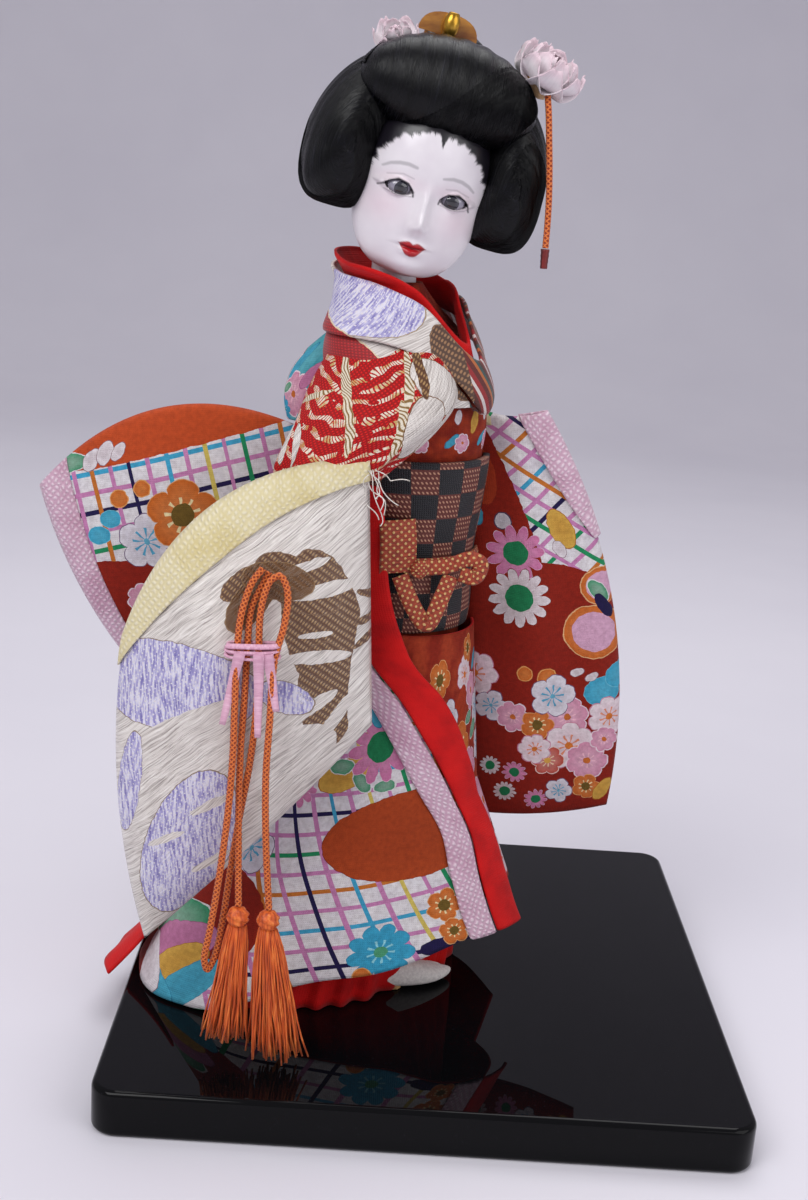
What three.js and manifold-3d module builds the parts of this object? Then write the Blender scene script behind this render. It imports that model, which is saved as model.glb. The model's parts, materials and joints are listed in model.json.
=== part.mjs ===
// A standing doll in kimono on a square lacquered board, in millimetres, +Z up.
// The origin is the middle of the board's underside. +X runs right along the board's front edge, +Y to the back.
import * as THREE from 'three';
import { mergeVertices } from 'three/addons/utils/BufferGeometryUtils.js';
import Module from 'manifold-3d';

const wasm = await Module();
wasm.setup();

// Board
const boardWidth = 240;
const boardDepth = 240;
const boardHeight = 18;
const boardCornerRadius = 10;
const boardEdgeRound = 1.5;

// Play left between pieces that touch
const clearance = 0.35;

// Where the doll stands on the board, and which way the body faces
// Directions round the doll are angles from the viewer's side, -Y, towards +X
const standX = -33;
const standY = -4;
const bodyTurn = 55;

// Heights of the body above the board, each a rise above the one before
const hipHeight = 108;
const sashAboveHip = 42;
const sashHeight = 67;
const chestAboveSash = 23;
const shoulderAboveChest = 22;
const collarAboveShoulder = 11;
const neckBaseAboveCollar = 8;
const sashBottom = hipHeight + sashAboveHip;
const sashTop = sashBottom + sashHeight;
const chestHeight = sashTop + chestAboveSash;
const shoulderHeight = chestHeight + shoulderAboveChest;
const collarHeight = shoulderHeight + collarAboveShoulder;
const neckBaseHeight = collarHeight + neckBaseAboveCollar;

// Half measures of the dressed torso, front to back and side to side
const hipFront = 25;
const hipSide = 27;
const waistFront = 21;
const waistSide = 25;
const chestFront = 30;
const chestSide = 32;
const shoulderFront = 18;
const shoulderSide = 33;
const neckOpening = 11;
const collarFrontWider = 2;
const collarSideWider = 9;

// How far the body sways from the standing point as it rises
const waistSwayX = 14;
const waistSwayY = -1;
const neckSwayX = 2;
const neckSwayY = -2;

// Cloth thicknesses and layers
const bodiceCloth = 1.6;
const sashCloth = 3.6;
const robeCloth = 1.6;
const skirtCloth = 1.7;
const kimonoCloth = 1.5;
const facingCloth = 1.1;
const collarCloth = 1.4;
const cordSashThickness = 1.8;
const cordSashWidth = 6;
const cordSashRise = 24;
const sashBowWidth = 48;
const sashBowDepth = 16;
const sashBowHeight = 42;
const sashBowRise = 4;
const sashBowSink = 2;
const cordBowTurn = -42;
const cordBowKnotWidth = 9;
const cordBowLoopLength = 18;
const cordBowLoopThickness = 3.2;
const cordBowEndLength = 20;
const innerCollarWidth = 14;
const robeCollarWidth = 20;
const robeCollarDrop = 5;
const collarRise = 4;
const collarSlope = 7;
const collarDip = 18;
const collarDipAngle = 20;
const collarStand = 7;

// Robe body over the near shoulder: its directions from the front, and its foot above the sash
const robeBodiceFrom = -150;
const robeBodiceTo = 12;
const robeBodiceFoot = 4;
const robeBodiceCutMargin = 5;

// Wrapped skirt of the robe, half measures at the waist and at the hem, and the hem's place
const skirtWaistRadius = 30.5;
const skirtHemWide = 65;
const skirtHemDeep = 50;
const skirtHemShiftX = -7;
const skirtHemShiftY = -8;
const skirtFoldCount = 9;
const skirtFoldDepth = 1.8;
const skirtLayerGap = 1.3;

// Below the knee the skirt flares out at its front edge and at the left of its hem
const kneeHeight = 85;
const edgeFlare = 26;
const edgeFlareAngle = 82;
const trainFlare = 15;
const trainFlareAngle = -60;

// Height of the robe's hem by direction in degrees, and direction of its front edge by height
const hemStations = [[-270, 33], [-210, 8], [-180, 1.2], [-40, 1.2], [-11, 15], [21, 22], [47, 32], [90, 33]];
const edgeStations = [[0, 66], [34, 58], [53, 55], [72, 52], [93, 40], [113, 25], [131, 7], [150, -21], [174, -38],
  [212, -44]];
const hemLowest = 1.2;
const robeBackAngle = -250;

// Facing and lining bands of the robe's front edge, and the lining turned out at the train
const facingBandWidth = 12;
const liningBandWidth = 14;
const edgeTopHeight = 208;
const trainLiningHeight = 36;
const trainLiningFlare = 9;
const trainLiningStart = -72;
const trainLiningSpan = 48;

// Petticoat
const kimonoHemHeight = 44;
const petticoatInsetTop = 5;
const petticoatInsetHem = 9;
const petticoatTuck = 38;
const petticoatTuckAngle = 72;

// Feet and legs
const footLength = 36;
const footWidth = 14;
const footHeight = 13;
const rightFootX = 28;
const rightFootY = -24;
const leftFootX = 2;
const leftFootY = 8;
const footTurn = 117;
const legDiameter = 7;
const screwDiameter = 3.5;
const screwHeadDiameter = 7;
const screwHeadDepth = 3;
const screwReach = 6;
const hipSpread = 9;
const legInHip = 11;

// Arms and hands
const armDiameter = 6;
const armRootReach = 14;
const armBelowShoulder = 14;
const armRootHeight = shoulderHeight - armBelowShoulder;
const handLength = 15;

// Neck and peg
const neckDiameter = 18;
const pegDiameter = 8;
const pegReach = 26;
const pegInNeck = 14;

// Head, measured from its own centre
const headX = 9.5;
const headY = -10;
const headAboveNeckBase = 33;
const headCentreHeight = neckBaseHeight + headAboveNeckBase;
const headTurn = 6;
const headNod = 6;
const headTilt = 12;
const faceHalfWidth = 23.5;
const faceDepth = 24;
const crownHeight = 36;
const chinDepth = 30;
const eyeRadius = 4.4;
const eyeSpread = 10;
const eyeHeight = 1.5;

// Hair
const frontRollWidth = 33;
const frontRollDepth = 21;
const frontRollHeight = 21;
const frontRollRise = 34;
const wingWidth = 14;
const wingDepth = 20;
const wingHeight = 30;
const wingSpread = 30;
const wingRise = 12;
const backHairWidth = 26;
const backHairDepth = 18;
const backHairHeight = 31;
const topknotRadius = 15;
const frontRollForward = 4;
const wingBehind = 4;
const backHairBehind = 18;
const backHairRise = 10;
const topknotBehind = 20;
const topknotRise = 46;

// Hair ornaments
const pinDiameter = 1.4;
const pinReach = 14;
const bigPetalLength = 14;
const bigPetalCount = 6;
const smallPetalLength = 8.5;
const smallPetalCount = 5;
const petalThickness = 1.6;
const flowerHeart = 0.2;
const outerPetalLean = 66;
const innerPetalLean = 34;
const innerPetalShare = 0.75;
const flowerCapHeight = 3.6;
const flowerCapRadius = 5.5;
const combWidth = 22;
const combHeight = 8;
const combThickness = 2;
const combTeeth = 5;
const combToothLength = 9;
const beadLength = 9;
const beadDiameter = 6;
const dangleDiameter = 3;
const dangleTipLength = 7;

// Robe sleeve of cream brocade: its corners, and how far each side bows out
// The corners run from the elbow to the top of the opening, down the opening, and back under the elbow
// Their last number is the rise from the shoulder, as the sleeves hang from it
const robeSleeveCorners = [[-2, -50, -43], [-85, -72, -108], [-74, -76, -222], [5, -61, -138]];
const robeSleeveBow = [19, 6, -2, 0];
const robeSleeveThickness = 22;
const robeSleeveForward = 8;
const robeFacingTop = 32;
const robeFacingEnd = 9;

// Tasselled cord
const cordDiameter = 2.6;
const cordStitch = [0.295, 0.245];
const cordLay = [[-122, -17.6], [-62, -17.2], [-47, -16.6], [-30, -14], [-16, -9.8], [-8, -6.6], [2, -3.6]];
const tieWidth = 18;
const tieDepth = 7.4;
const tieHeight = 6;
const tieDrop = 27;
const tasselHeadDiameter = 8;
const tasselTopRadius = 3.2;
const leftTasselLength = 54;
const leftTasselRadius = 7.4;
const leftTasselLean = -3;
const rightTasselLength = 59;
const rightTasselRadius = 9.8;
const rightTasselLean = 5;

// Printed sleeves of the kimono, with corners and bows in the same order
const rightSleeveCorners = [[-26, -17, -38], [-125, -24, -63], [-89, -28, -130], [-32, -16, -112]];
const rightSleeveBow = [19, 4, 0, 0];
const rightSleeveThickness = 13;
const leftSleeveCorners = [[31, 12, -24], [64, 0, -27], [105, 5, -190], [46, 14, -200]];
const leftSleeveBow = [5, -15, 3, 4];
const leftSleeveThickness = 26;
const sleeveFacingWidth = 11;

// Upper sleeve of the robe, from its top down: rise from the shoulder, middle x and y, half width, half depth
const upperSleeveStations = [[4, 1.5, -19, 17, 9], [-7, 2, -24, 23, 12], [-20, 1, -31, 27.5, 14],
  [-31, -4, -38, 26, 14], [-46, -15, -43, 22, 11], [-53, -19, -44, 20, 8]];

// Shoulder part of the kimono's right sleeve, behind the robe's sleeve, in the same order
const rightShoulderStations = [[2, -6, -13, 14, 8], [-10, -11, -15, 20, 8], [-22, -14, -17, 22, 8],
  [-36, -17, -18, 19, 6]];

// Thinnest edge of a hanging sleeve, counted from its middle, and the folds of the sleeves
const sleeveEdge = 0.9;
const sleeveFolds = 2;
const wideSleeveFoldDepth = 1.6;
const narrowSleeveFoldDepth = 1;
const rightSleeveForward = 2;
const leftSleeveForward = 0;

// Fineness of the rounded shapes
const torsoSteps = 22;
const skirtSteps = 34;
const sectorRows = 8;
const sectorReach = 200;

const degree = Math.PI / 180;
const front = bodyTurn * degree;
const collarLayer = 2 * clearance;
const robeLayer = collarLayer + collarCloth;

// A closed geometry turned into a solid for cutting and joining
function solid(geometry) {
  const bare = geometry.clone();
  bare.deleteAttribute('normal');
  bare.deleteAttribute('uv');
  const merged = mergeVertices(bare, 1e-4);
  const index = merged.index.array;
  const kept = [];
  for (let i = 0; i < index.length; i += 3) {
    const [a, b, c] = [index[i], index[i + 1], index[i + 2]];
    if (a !== b && b !== c && c !== a) {
      kept.push(a, b, c);
    }
  }
  return new wasm.Manifold(new wasm.Mesh({
    numProp: 3,
    vertProperties: new Float32Array(merged.attributes.position.array),
    triVerts: new Uint32Array(kept),
  }));
}

// A solid's triangles as a geometry
function geometryOf(body) {
  const mesh = body.getMesh();
  const positions = new Float32Array(mesh.numVert * 3);
  for (let i = 0; i < mesh.numVert; i += 1) {
    for (let axis = 0; axis < 3; axis += 1) {
      positions[i * 3 + axis] = mesh.vertProperties[i * mesh.numProp + axis];
    }
  }
  const geometry = new THREE.BufferGeometry();
  geometry.setAttribute('position', new THREE.BufferAttribute(positions, 3));
  geometry.setIndex(new THREE.BufferAttribute(new Uint32Array(mesh.triVerts), 1));
  return geometry;
}

// The same closed geometry with its skin moved outwards by a gap
function grown(geometry, gap) {
  const bare = geometry.clone();
  bare.deleteAttribute('normal');
  bare.deleteAttribute('uv');
  const merged = mergeVertices(bare, 1e-4);
  merged.computeVertexNormals();
  const position = merged.attributes.position;
  const normal = merged.attributes.normal;
  for (let i = 0; i < position.count; i += 1) {
    position.setXYZ(
      i,
      position.getX(i) + gap * normal.getX(i),
      position.getY(i) + gap * normal.getY(i),
      position.getZ(i) + gap * normal.getZ(i),
    );
  }
  merged.deleteAttribute('normal');
  return merged;
}

// The largest single body of a solid, with slivers smoothed away
function largest(body) {
  const bodies = body.simplify(0.03).decompose();
  return bodies.reduce((best, one) => (one.volume() > best.volume() ? one : best));
}

// A piece cut away where its neighbours lie, with play all round
function cut(geometry, ...neighbours) {
  let body = solid(geometry);
  for (const neighbour of neighbours) {
    body = body.subtract(solid(grown(neighbour, clearance)));
  }
  return geometryOf(largest(body));
}

// Several overlapping solids joined into one
function joined(...geometries) {
  let body = solid(geometries[0]);
  for (const geometry of geometries.slice(1)) {
    body = body.add(solid(geometry));
  }
  return geometryOf(largest(body));
}

// A solid through a row of closed loops, capped at both ends
// Flat loops are capped by a fan, thin two-sided loops by a strip
function loft(loops, thin = false) {
  const count = loops[0].length;
  const positions = loops.flat();
  const index = [];
  for (let row = 0; row + 1 < loops.length; row += 1) {
    for (let k = 0; k < count; k += 1) {
      const next = (k + 1) % count;
      const a = row * count + k;
      const b = row * count + next;
      index.push(a, b, b + count, a, b + count, a + count);
    }
  }
  const lastRow = (loops.length - 1) * count;
  if (thin) {
    for (let k = 0; k + 1 < count / 2; k += 1) {
      const other = count - 1 - k;
      index.push(k, other - 1, k + 1, k, other, other - 1);
      index.push(lastRow + k, lastRow + k + 1, lastRow + other - 1);
      index.push(lastRow + k, lastRow + other - 1, lastRow + other);
    }
  } else {
    for (const [row, first] of [[0, 0], [loops.length - 1, lastRow]]) {
      const middle = new THREE.Vector3();
      loops[row].forEach((point) => middle.addScaledVector(point, 1 / count));
      positions.push(middle);
      for (let k = 0; k < count; k += 1) {
        const next = (k + 1) % count;
        const tip = positions.length - 1;
        index.push(...(row === 0 ? [tip, first + next, first + k] : [tip, first + k, first + next]));
      }
    }
  }
  const geometry = new THREE.BufferGeometry().setFromPoints(positions);
  geometry.setIndex(index);
  return outward(geometry);
}

// Faces turned to point out of the solid
function outward(geometry) {
  const position = geometry.attributes.position;
  const index = Array.from(geometry.index.array);
  const corner = (i) => new THREE.Vector3().fromBufferAttribute(position, index[i]);
  let volume = 0;
  for (let i = 0; i < index.length; i += 3) {
    volume += corner(i).dot(corner(i + 1).cross(corner(i + 2)));
  }
  if (volume < 0) {
    for (let i = 0; i < index.length; i += 3) {
      [index[i], index[i + 1]] = [index[i + 1], index[i]];
    }
    geometry.setIndex(index);
  }
  return geometry;
}

// A value read off a smooth line through stations of [height, value]
function along(stations, height) {
  const last = stations.length - 1;
  if (height <= stations[0][0]) {
    return stations[0][1];
  }
  if (height >= stations[last][0]) {
    return stations[last][1];
  }
  const i = stations.findIndex((station, k) => k < last && height <= stations[k + 1][0]);
  const [h0, v0] = stations[i];
  const [h1, v1] = stations[i + 1];
  const slope = (a, b) => (stations[b][1] - stations[a][1]) / (stations[b][0] - stations[a][0]);
  const slope0 = slope(Math.max(i - 1, 0), i + 1);
  const slope1 = slope(i, Math.min(i + 2, last));
  const t = (height - h0) / (h1 - h0);
  const span = h1 - h0;
  return v0 * (1 + 2 * t) * (1 - t) ** 2 + slope0 * span * t * (1 - t) ** 2
    + v1 * t * t * (3 - 2 * t) + slope1 * span * t * t * (t - 1);
}

// A point round an upright middle line
function around(middle, angle, radius, height) {
  return new THREE.Vector3(middle.x + radius * Math.sin(angle), middle.y - radius * Math.cos(angle), height);
}

// An ellipsoid at a place
function ellipsoid(centre, radii, across = 20, up = 12) {
  return new THREE.SphereGeometry(1, across, up).rotateX(Math.PI / 2).scale(...radii).translate(...centre);
}

// A round rod along a smooth line
function rod(points, diameter, sides = 8, steps = points.length * 3) {
  const circle = new THREE.Shape();
  for (let k = 0; k < sides; k += 1) {
    const angle = 2 * Math.PI * k / sides;
    const place = [diameter / 2 * Math.cos(angle), diameter / 2 * Math.sin(angle)];
    if (k === 0) {
      circle.moveTo(...place);
    } else {
      circle.lineTo(...place);
    }
  }
  circle.closePath();
  const path = points.length === 2
    ? new THREE.LineCurve3(...points)
    : new THREE.CatmullRomCurve3(points, false, 'centripetal');
  return new THREE.ExtrudeGeometry(circle, { extrudePath: path, steps, bevelEnabled: false });
}

// Heights of the rows that all layers of the torso share
const sashMiddle = (sashBottom + sashTop) / 2;
const torsoStep = (neckBaseHeight - sashTop) / 6;
const torsoGrid = [hipHeight, sashBottom, sashMiddle, ...[0, 1, 2, 3, 4, 5, 6].map((k) => sashTop + k * torsoStep)];

// A measure of the torso, straight between two neighbouring rows, so that layers nest
function betweenRows(height, measure) {
  const level = THREE.MathUtils.clamp(height, hipHeight, neckBaseHeight);
  const above = Math.max(torsoGrid.findIndex((row) => level <= row + 1e-6), 1);
  const [low, high] = [torsoGrid[above - 1], torsoGrid[above]];
  return THREE.MathUtils.lerp(measure(low), measure(high), (level - low) / (high - low));
}

// Middle line of the torso
function torsoMiddle(height) {
  return {
    x: betweenRows(height, (row) => along([[0, 0], [sashBottom, waistSwayX], [sashTop, waistSwayX - 1],
      [neckBaseHeight, neckSwayX]], row)),
    y: betweenRows(height, (row) => along([[0, 0], [sashBottom, waistSwayY], [neckBaseHeight, neckSwayY]], row)),
  };
}

// Radius of the dressed torso in one direction
function torsoRadius(angle, height) {
  const turn = angle - front;
  return betweenRows(height, (row) => {
    const frontHalf = along([[hipHeight, hipFront], [sashMiddle, waistFront], [chestHeight, chestFront],
      [shoulderHeight, shoulderFront], [collarHeight, neckOpening + collarFrontWider], [neckBaseHeight, neckOpening]], row);
    const sideHalf = along([[hipHeight, hipSide], [sashMiddle, waistSide], [chestHeight, chestSide],
      [shoulderHeight, shoulderSide], [collarHeight, neckOpening + collarSideWider], [neckBaseHeight, neckOpening]], row);
    return frontHalf * sideHalf / Math.hypot(sideHalf * Math.cos(turn), frontHalf * Math.sin(turn));
  });
}

// Row heights of one layer between two limits
function torsoHeights(low, high) {
  return [low, ...torsoGrid.filter((height) => height > low + 1 && height < high - 1), high];
}

// A closed ring of points at even angles
function ring(across, pointAt) {
  return Array.from({ length: across }, (_, k) => pointAt(2 * Math.PI * k / across));
}

// Part of the torso's shape between two heights, larger or smaller by an offset
function torsoBlock(offset, low, high) {
  return loft(torsoHeights(low, high).map((height) => ring(torsoSteps, (angle) => (
    around(torsoMiddle(height), angle, torsoRadius(angle, height) + offset, height)))));
}

// A cloth wall round the torso between two heights
function torsoWall(offset, thickness, low, high) {
  const stack = (extra) => torsoHeights(low, high).map((height) => ring(torsoSteps, (angle) => (
    around(torsoMiddle(height), angle, torsoRadius(angle, height) + extra, height))));
  return ringWall(stack(offset + thickness), stack(offset));
}

// A closed wall between an outer and an inner stack of loops
// Both sides are split along the same diagonals, so that walls nest
function ringWall(outer, inner) {
  const loops = [...outer, ...inner.reverse()];
  const count = outer[0].length;
  const positions = loops.flat();
  const index = [];
  for (let row = 0; row < loops.length; row += 1) {
    const after = (row + 1) % loops.length;
    for (let k = 0; k < count; k += 1) {
      const next = (k + 1) % count;
      const [a, b] = [row * count + k, row * count + next];
      const [c, d] = [after * count + next, after * count + k];
      if (row < outer.length) {
        index.push(a, b, c, a, c, d);
      } else {
        index.push(a, b, d, b, c, d);
      }
    }
  }
  const geometry = new THREE.BufferGeometry().setFromPoints(positions);
  geometry.setIndex(index);
  return outward(geometry);
}

// A wedge that reaches out from a moving middle line between two directions
function sector(middleAt, fromAngle, toAngle, low, high) {
  const loops = [];
  for (let row = 0; row <= sectorRows; row += 1) {
    const height = low + (high - low) * row / sectorRows;
    const middle = middleAt(height);
    const [from, to] = [fromAngle(height), toAngle(height)];
    const loop = [around(middle, 0, 0, height)];
    for (let k = 0; k <= 12; k += 1) {
      loop.push(around(middle, from + (to - from) * k / 12, sectorReach, height));
    }
    loops.push(loop);
  }
  return loft(loops);
}

// What two solids share
function shared(geometry, region) {
  return geometryOf(largest(solid(geometry).intersect(solid(region))));
}

// Middle line of the skirt
function skirtMiddle(height) {
  const rise = THREE.MathUtils.clamp(height / sashBottom, 0, 1);
  return {
    x: skirtHemShiftX + (waistSwayX - skirtHemShiftX) * rise,
    y: skirtHemShiftY + (waistSwayY - skirtHemShiftY) * rise,
  };
}

// A bulge that fades away on both sides of one direction
function bulge(angle, at) {
  return Math.max(Math.cos(angle - at * degree), 0) ** 3;
}

// A point on the skirt's outer side, with an inward depth
function skirtPoint(angle, height, depth) {
  const fall = Math.max(1 - height / sashBottom, 0);
  const belowKnee = Math.max(1 - height / kneeHeight, 0);
  const flare = belowKnee * (edgeFlare * bulge(angle, edgeFlareAngle) + trainFlare * bulge(angle, trainFlareAngle));
  const wide = skirtWaistRadius + (skirtHemWide - skirtWaistRadius) * fall + flare - depth;
  const deep = skirtWaistRadius + (skirtHemDeep - skirtWaistRadius) * fall + flare - depth;
  const middle = skirtMiddle(height);
  return new THREE.Vector3(middle.x + wide * Math.sin(angle), middle.y - deep * Math.cos(angle), height);
}

// Height of the robe's hem in one direction
function hemHeight(angle) {
  return Math.max(along(hemStations, angle / degree), hemLowest);
}

// Direction of the robe's front edge at one height
function robeEdge(height) {
  return along(edgeStations, height) * degree;
}

// A height part of the way from a top, over the knee, to a hem
function fallHeight(t, top, hem) {
  if (t <= 0.5) {
    return top + (kneeHeight - top) * 2 * t;
  }
  return kneeHeight + (hem - kneeHeight) * (2 * t - 1);
}

function board() {
  const x = boardWidth / 2 - boardEdgeRound;
  const y = boardDepth / 2 - boardEdgeRound;
  const r = boardCornerRadius - boardEdgeRound;
  const outline = new THREE.Shape();
  outline.moveTo(x, -y + r);
  outline.absarc(x - r, y - r, r, 0, Math.PI / 2);
  outline.absarc(-x + r, y - r, r, Math.PI / 2, Math.PI);
  outline.absarc(-x + r, -y + r, r, Math.PI, 1.5 * Math.PI);
  outline.absarc(x - r, -y + r, r, 1.5 * Math.PI, 2 * Math.PI);
  const slab = new THREE.ExtrudeGeometry(outline, {
    depth: boardHeight - 2 * boardEdgeRound,
    bevelThickness: boardEdgeRound,
    bevelSize: boardEdgeRound,
    bevelSegments: 1,
    curveSegments: 4,
  });
  return slab.translate(0, 0, boardEdgeRound);
}

// A leg's foot point on the board and its upper end in the hip
function legLine(side) {
  const [x, y] = side > 0 ? [rightFootX, rightFootY] : [leftFootX, leftFootY];
  const ankle = around({ x, y }, footTurn * degree, -footLength * 0.24, clearance);
  const hip = around(torsoMiddle(hipHeight), front - side * Math.PI / 2, hipSpread, hipHeight + legInHip);
  return [ankle, hip];
}

function screw(side) {
  const [foot] = legLine(side);
  const head = new THREE.CylinderGeometry(screwHeadDiameter / 2, screwHeadDiameter / 2, screwHeadDepth, 12);
  head.rotateX(Math.PI / 2).translate(0, 0, screwHeadDepth / 2);
  const length = boardHeight - screwHeadDepth + screwReach - 1;
  const shank = new THREE.CylinderGeometry(screwDiameter / 2, screwDiameter / 2, length, 8);
  shank.rotateX(Math.PI / 2).translate(0, 0, screwHeadDepth + length / 2 - 0.5);
  return joined(head, shank).translate(foot.x, foot.y, 1 - boardHeight);
}

// The round way that a screw needs in the board, open underneath
function screwWay(side) {
  const [foot] = legLine(side);
  const deep = new THREE.CylinderGeometry(screwHeadDiameter / 2 + 0.5, screwHeadDiameter / 2 + 0.5, 6, 12);
  deep.rotateX(Math.PI / 2).translate(foot.x, foot.y, -boardHeight - 2 + screwHeadDepth / 2);
  return deep;
}

function leg(side) {
  const [ankle, hip] = legLine(side);
  return loft([0, 0.96, 1].map((t) => {
    const middle = ankle.clone().lerp(hip, t);
    return ring(10, (angle) => around(middle, angle, legDiameter / 2, middle.z));
  }));
}

// A split-toe sock: a long sole, a rounded top and an ankle
function foot(side) {
  const [x, y] = side > 0 ? [rightFootX, rightFootY] : [leftFootX, leftFootY];
  const loops = [];
  const rows = 6;
  for (let row = 0; row <= rows; row += 1) {
    const t = row / rows;
    const half = footWidth / 2 * (0.35 + 0.65 * Math.sin(Math.PI * (0.12 + 0.8 * t)) ** 0.8);
    const top = footHeight * (0.62 + 0.38 * Math.cos(Math.PI * t)) * (t < 0.95 ? 1 : 0.8);
    const loop = [];
    for (let k = 0; k < 10; k += 1) {
      const angle = 2 * Math.PI * k / 10;
      const flat = Math.sin(angle) < 0 ? 0.35 : 1;
      loop.push(new THREE.Vector3(half * Math.cos(angle), -(t - 0.5) * footLength,
        top * 0.4 + top * 0.6 * Math.sin(angle) * flat - top * 0.4 + top * 0.21));
    }
    loops.push(loop);
  }
  const shape = loft(loops);
  shape.computeBoundingBox();
  shape.translate(0, 0, clearance - shape.boundingBox.min.z);
  return shape.rotateZ(footTurn * degree).translate(x, y, 0);
}

// Route of an arm from the shoulder into its sleeve
function armPoints(side) {
  const sleeve = side > 0 ? robeSleeveSurface : leftSleeveSurface;
  const shoulder = around(torsoMiddle(armRootHeight), front - side * Math.PI / 2, armRootReach, armRootHeight);
  const [entry, wrist] = side > 0 ? [[0.12, 0.17], [0.34, 0.32]] : [[0.5, 0.06], [0.5, 0.22]];
  const way = sleeve(...entry, 0);
  return [shoulder, shoulder.clone().lerp(way, 0.6), way, sleeve(...wrist, 0)];
}

function arm(side) {
  return rod(armPoints(side), armDiameter, 8, 8);
}

function hand(side) {
  const points = armPoints(side);
  const way = points[3].clone().sub(points[2]).normalize();
  const palm = ellipsoid([0, 0, 0], [handLength / 4, handLength / 5, handLength / 2], 8, 6);
  const thumb = ellipsoid([handLength / 5, 0, -handLength / 8], [handLength / 9, handLength / 9, handLength / 4], 6, 5);
  const shape = joined(palm, thumb);
  const turn = new THREE.Quaternion().setFromUnitVectors(new THREE.Vector3(0, 0, 1), way);
  const place = points[3].clone().addScaledVector(way, handLength / 2 + clearance);
  return shape.applyQuaternion(turn).translate(place.x, place.y, place.z);
}

// A hanging cloth bag between four corners: a and b along the top, d and c below them
function bag({ corners, bow, thickness, forward, folds, foldDepth }) {
  const [a, b, c, d] = corners.map(([x, y, rise]) => new THREE.Vector3(x, y, shoulderHeight + rise));
  const bent = (start, end, t, out) => {
    const point = start.clone().lerp(end, t);
    const way = end.clone().sub(start).normalize();
    const normal = new THREE.Vector3(way.z, 0, -way.x);
    return point.addScaledVector(normal, out * 4 * t * (1 - t));
  };
  return (u, v, side, lift = 0) => {
    const top = bent(a, b, u, bow[0]);
    const bottom = bent(d, c, u, bow[2]);
    const start = bent(a, d, v, bow[3]);
    const end = bent(b, c, v, bow[1]);
    const point = top.multiplyScalar(1 - v).addScaledVector(bottom, v)
      .addScaledVector(start, 1 - u).addScaledVector(end, u)
      .addScaledVector(a, -(1 - u) * (1 - v)).addScaledVector(b, -u * (1 - v))
      .addScaledVector(d, -(1 - u) * v).addScaledVector(c, -u * v);
    const swell = (Math.max(u * (1 - u), 0) * Math.max(v * (1 - v), 0) * 16) ** 0.6;
    const half = sleeveEdge + (thickness / 2 - sleeveEdge) * swell;
    const fold = foldDepth * swell * Math.sin(2 * Math.PI * folds * (u + 0.25 * v));
    point.y -= side * (half + lift) + forward * swell + fold;
    return point;
  };
}

// A net of places over a bag: even steps inside and outside one dividing line
// The divide is a share of the way across, or down, that may change along the other way
function net(across, down, split) {
  const { acrossSteps, acrossShare, downSteps, downShare } = split;
  const share = (k, count, steps, at) => (k <= steps ? at * k / steps : at + (1 - at) * (k - steps) / (count - steps));
  return {
    across,
    down,
    at(i, j) {
      const u = acrossSteps ? 1 - share(across - i, across, acrossSteps, acrossShare) : i / across;
      const v = downSteps ? share(j, down, downSteps, downShare(u)) : j / down;
      return [u, v];
    },
  };
}

// The solid of a bag over its net
function bagSolid(surface, cells) {
  const loops = [];
  for (let j = 0; j <= cells.down; j += 1) {
    const row = Array.from({ length: cells.across + 1 }, (_, i) => cells.at(i, j));
    loops.push([
      ...row.map(([u, v]) => surface(u, v, 1)),
      ...row.map(([u, v]) => surface(u, v, -1)).reverse(),
    ]);
  }
  return loft(loops, true);
}

// A strip of crepe on the bag's front, over part of its net
function bagStrip(surface, cells, fromAcross, toDown) {
  const loops = [];
  for (let j = 0; j <= toDown; j += 1) {
    const row = [];
    for (let i = fromAcross; i <= cells.across; i += 1) {
      row.push(cells.at(i, j));
    }
    loops.push([
      ...row.map(([u, v]) => surface(u, v, 1, clearance)),
      ...row.map(([u, v]) => surface(u, v, 1, clearance + facingCloth)).reverse(),
    ]);
  }
  return loft(loops, true);
}

// Cream robe sleeve, hung by one corner at the elbow
const robeSleeveSurface = bag({
  corners: robeSleeveCorners,
  bow: robeSleeveBow,
  thickness: robeSleeveThickness,
  forward: robeSleeveForward,
  folds: sleeveFolds,
  foldDepth: wideSleeveFoldDepth,
});

const robeSleeveDrop = robeSleeveCorners[1][2] - robeSleeveCorners[2][2];
const robeSleeveNet = net(11, 10, {
  downSteps: 2,
  downShare: (u) => (robeFacingTop + (robeFacingEnd - robeFacingTop) * u) / robeSleeveDrop,
});

// Printed right sleeve of the kimono, held out to the side
const rightSleeveSurface = bag({
  corners: rightSleeveCorners,
  bow: rightSleeveBow,
  thickness: rightSleeveThickness,
  forward: rightSleeveForward,
  folds: sleeveFolds,
  foldDepth: narrowSleeveFoldDepth,
});

const rightSleeveNet = net(10, 7, {
  acrossSteps: 2,
  acrossShare: sleeveFacingWidth / (rightSleeveCorners[0][0] - rightSleeveCorners[1][0]),
});

// Printed left sleeve of the kimono, hanging from the other arm
const leftSleeveSurface = bag({
  corners: leftSleeveCorners,
  bow: leftSleeveBow,
  thickness: leftSleeveThickness,
  forward: leftSleeveForward,
  folds: sleeveFolds,
  foldDepth: wideSleeveFoldDepth,
});

const leftSleeveNet = net(9, 12, {
  acrossSteps: 3,
  acrossShare: 1.4 * sleeveFacingWidth / (leftSleeveCorners[2][0] - leftSleeveCorners[3][0]),
});

// A soft bell through stations of rise from the shoulder, middle x and y, half width and half depth
function bell(stations) {
  return loft(stations.map(([rise, x, y, wide, deep]) => ring(18, (angle) => (
    new THREE.Vector3(x + wide * Math.sin(angle), y - deep * Math.cos(angle), shoulderHeight + rise)))));
}

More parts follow.
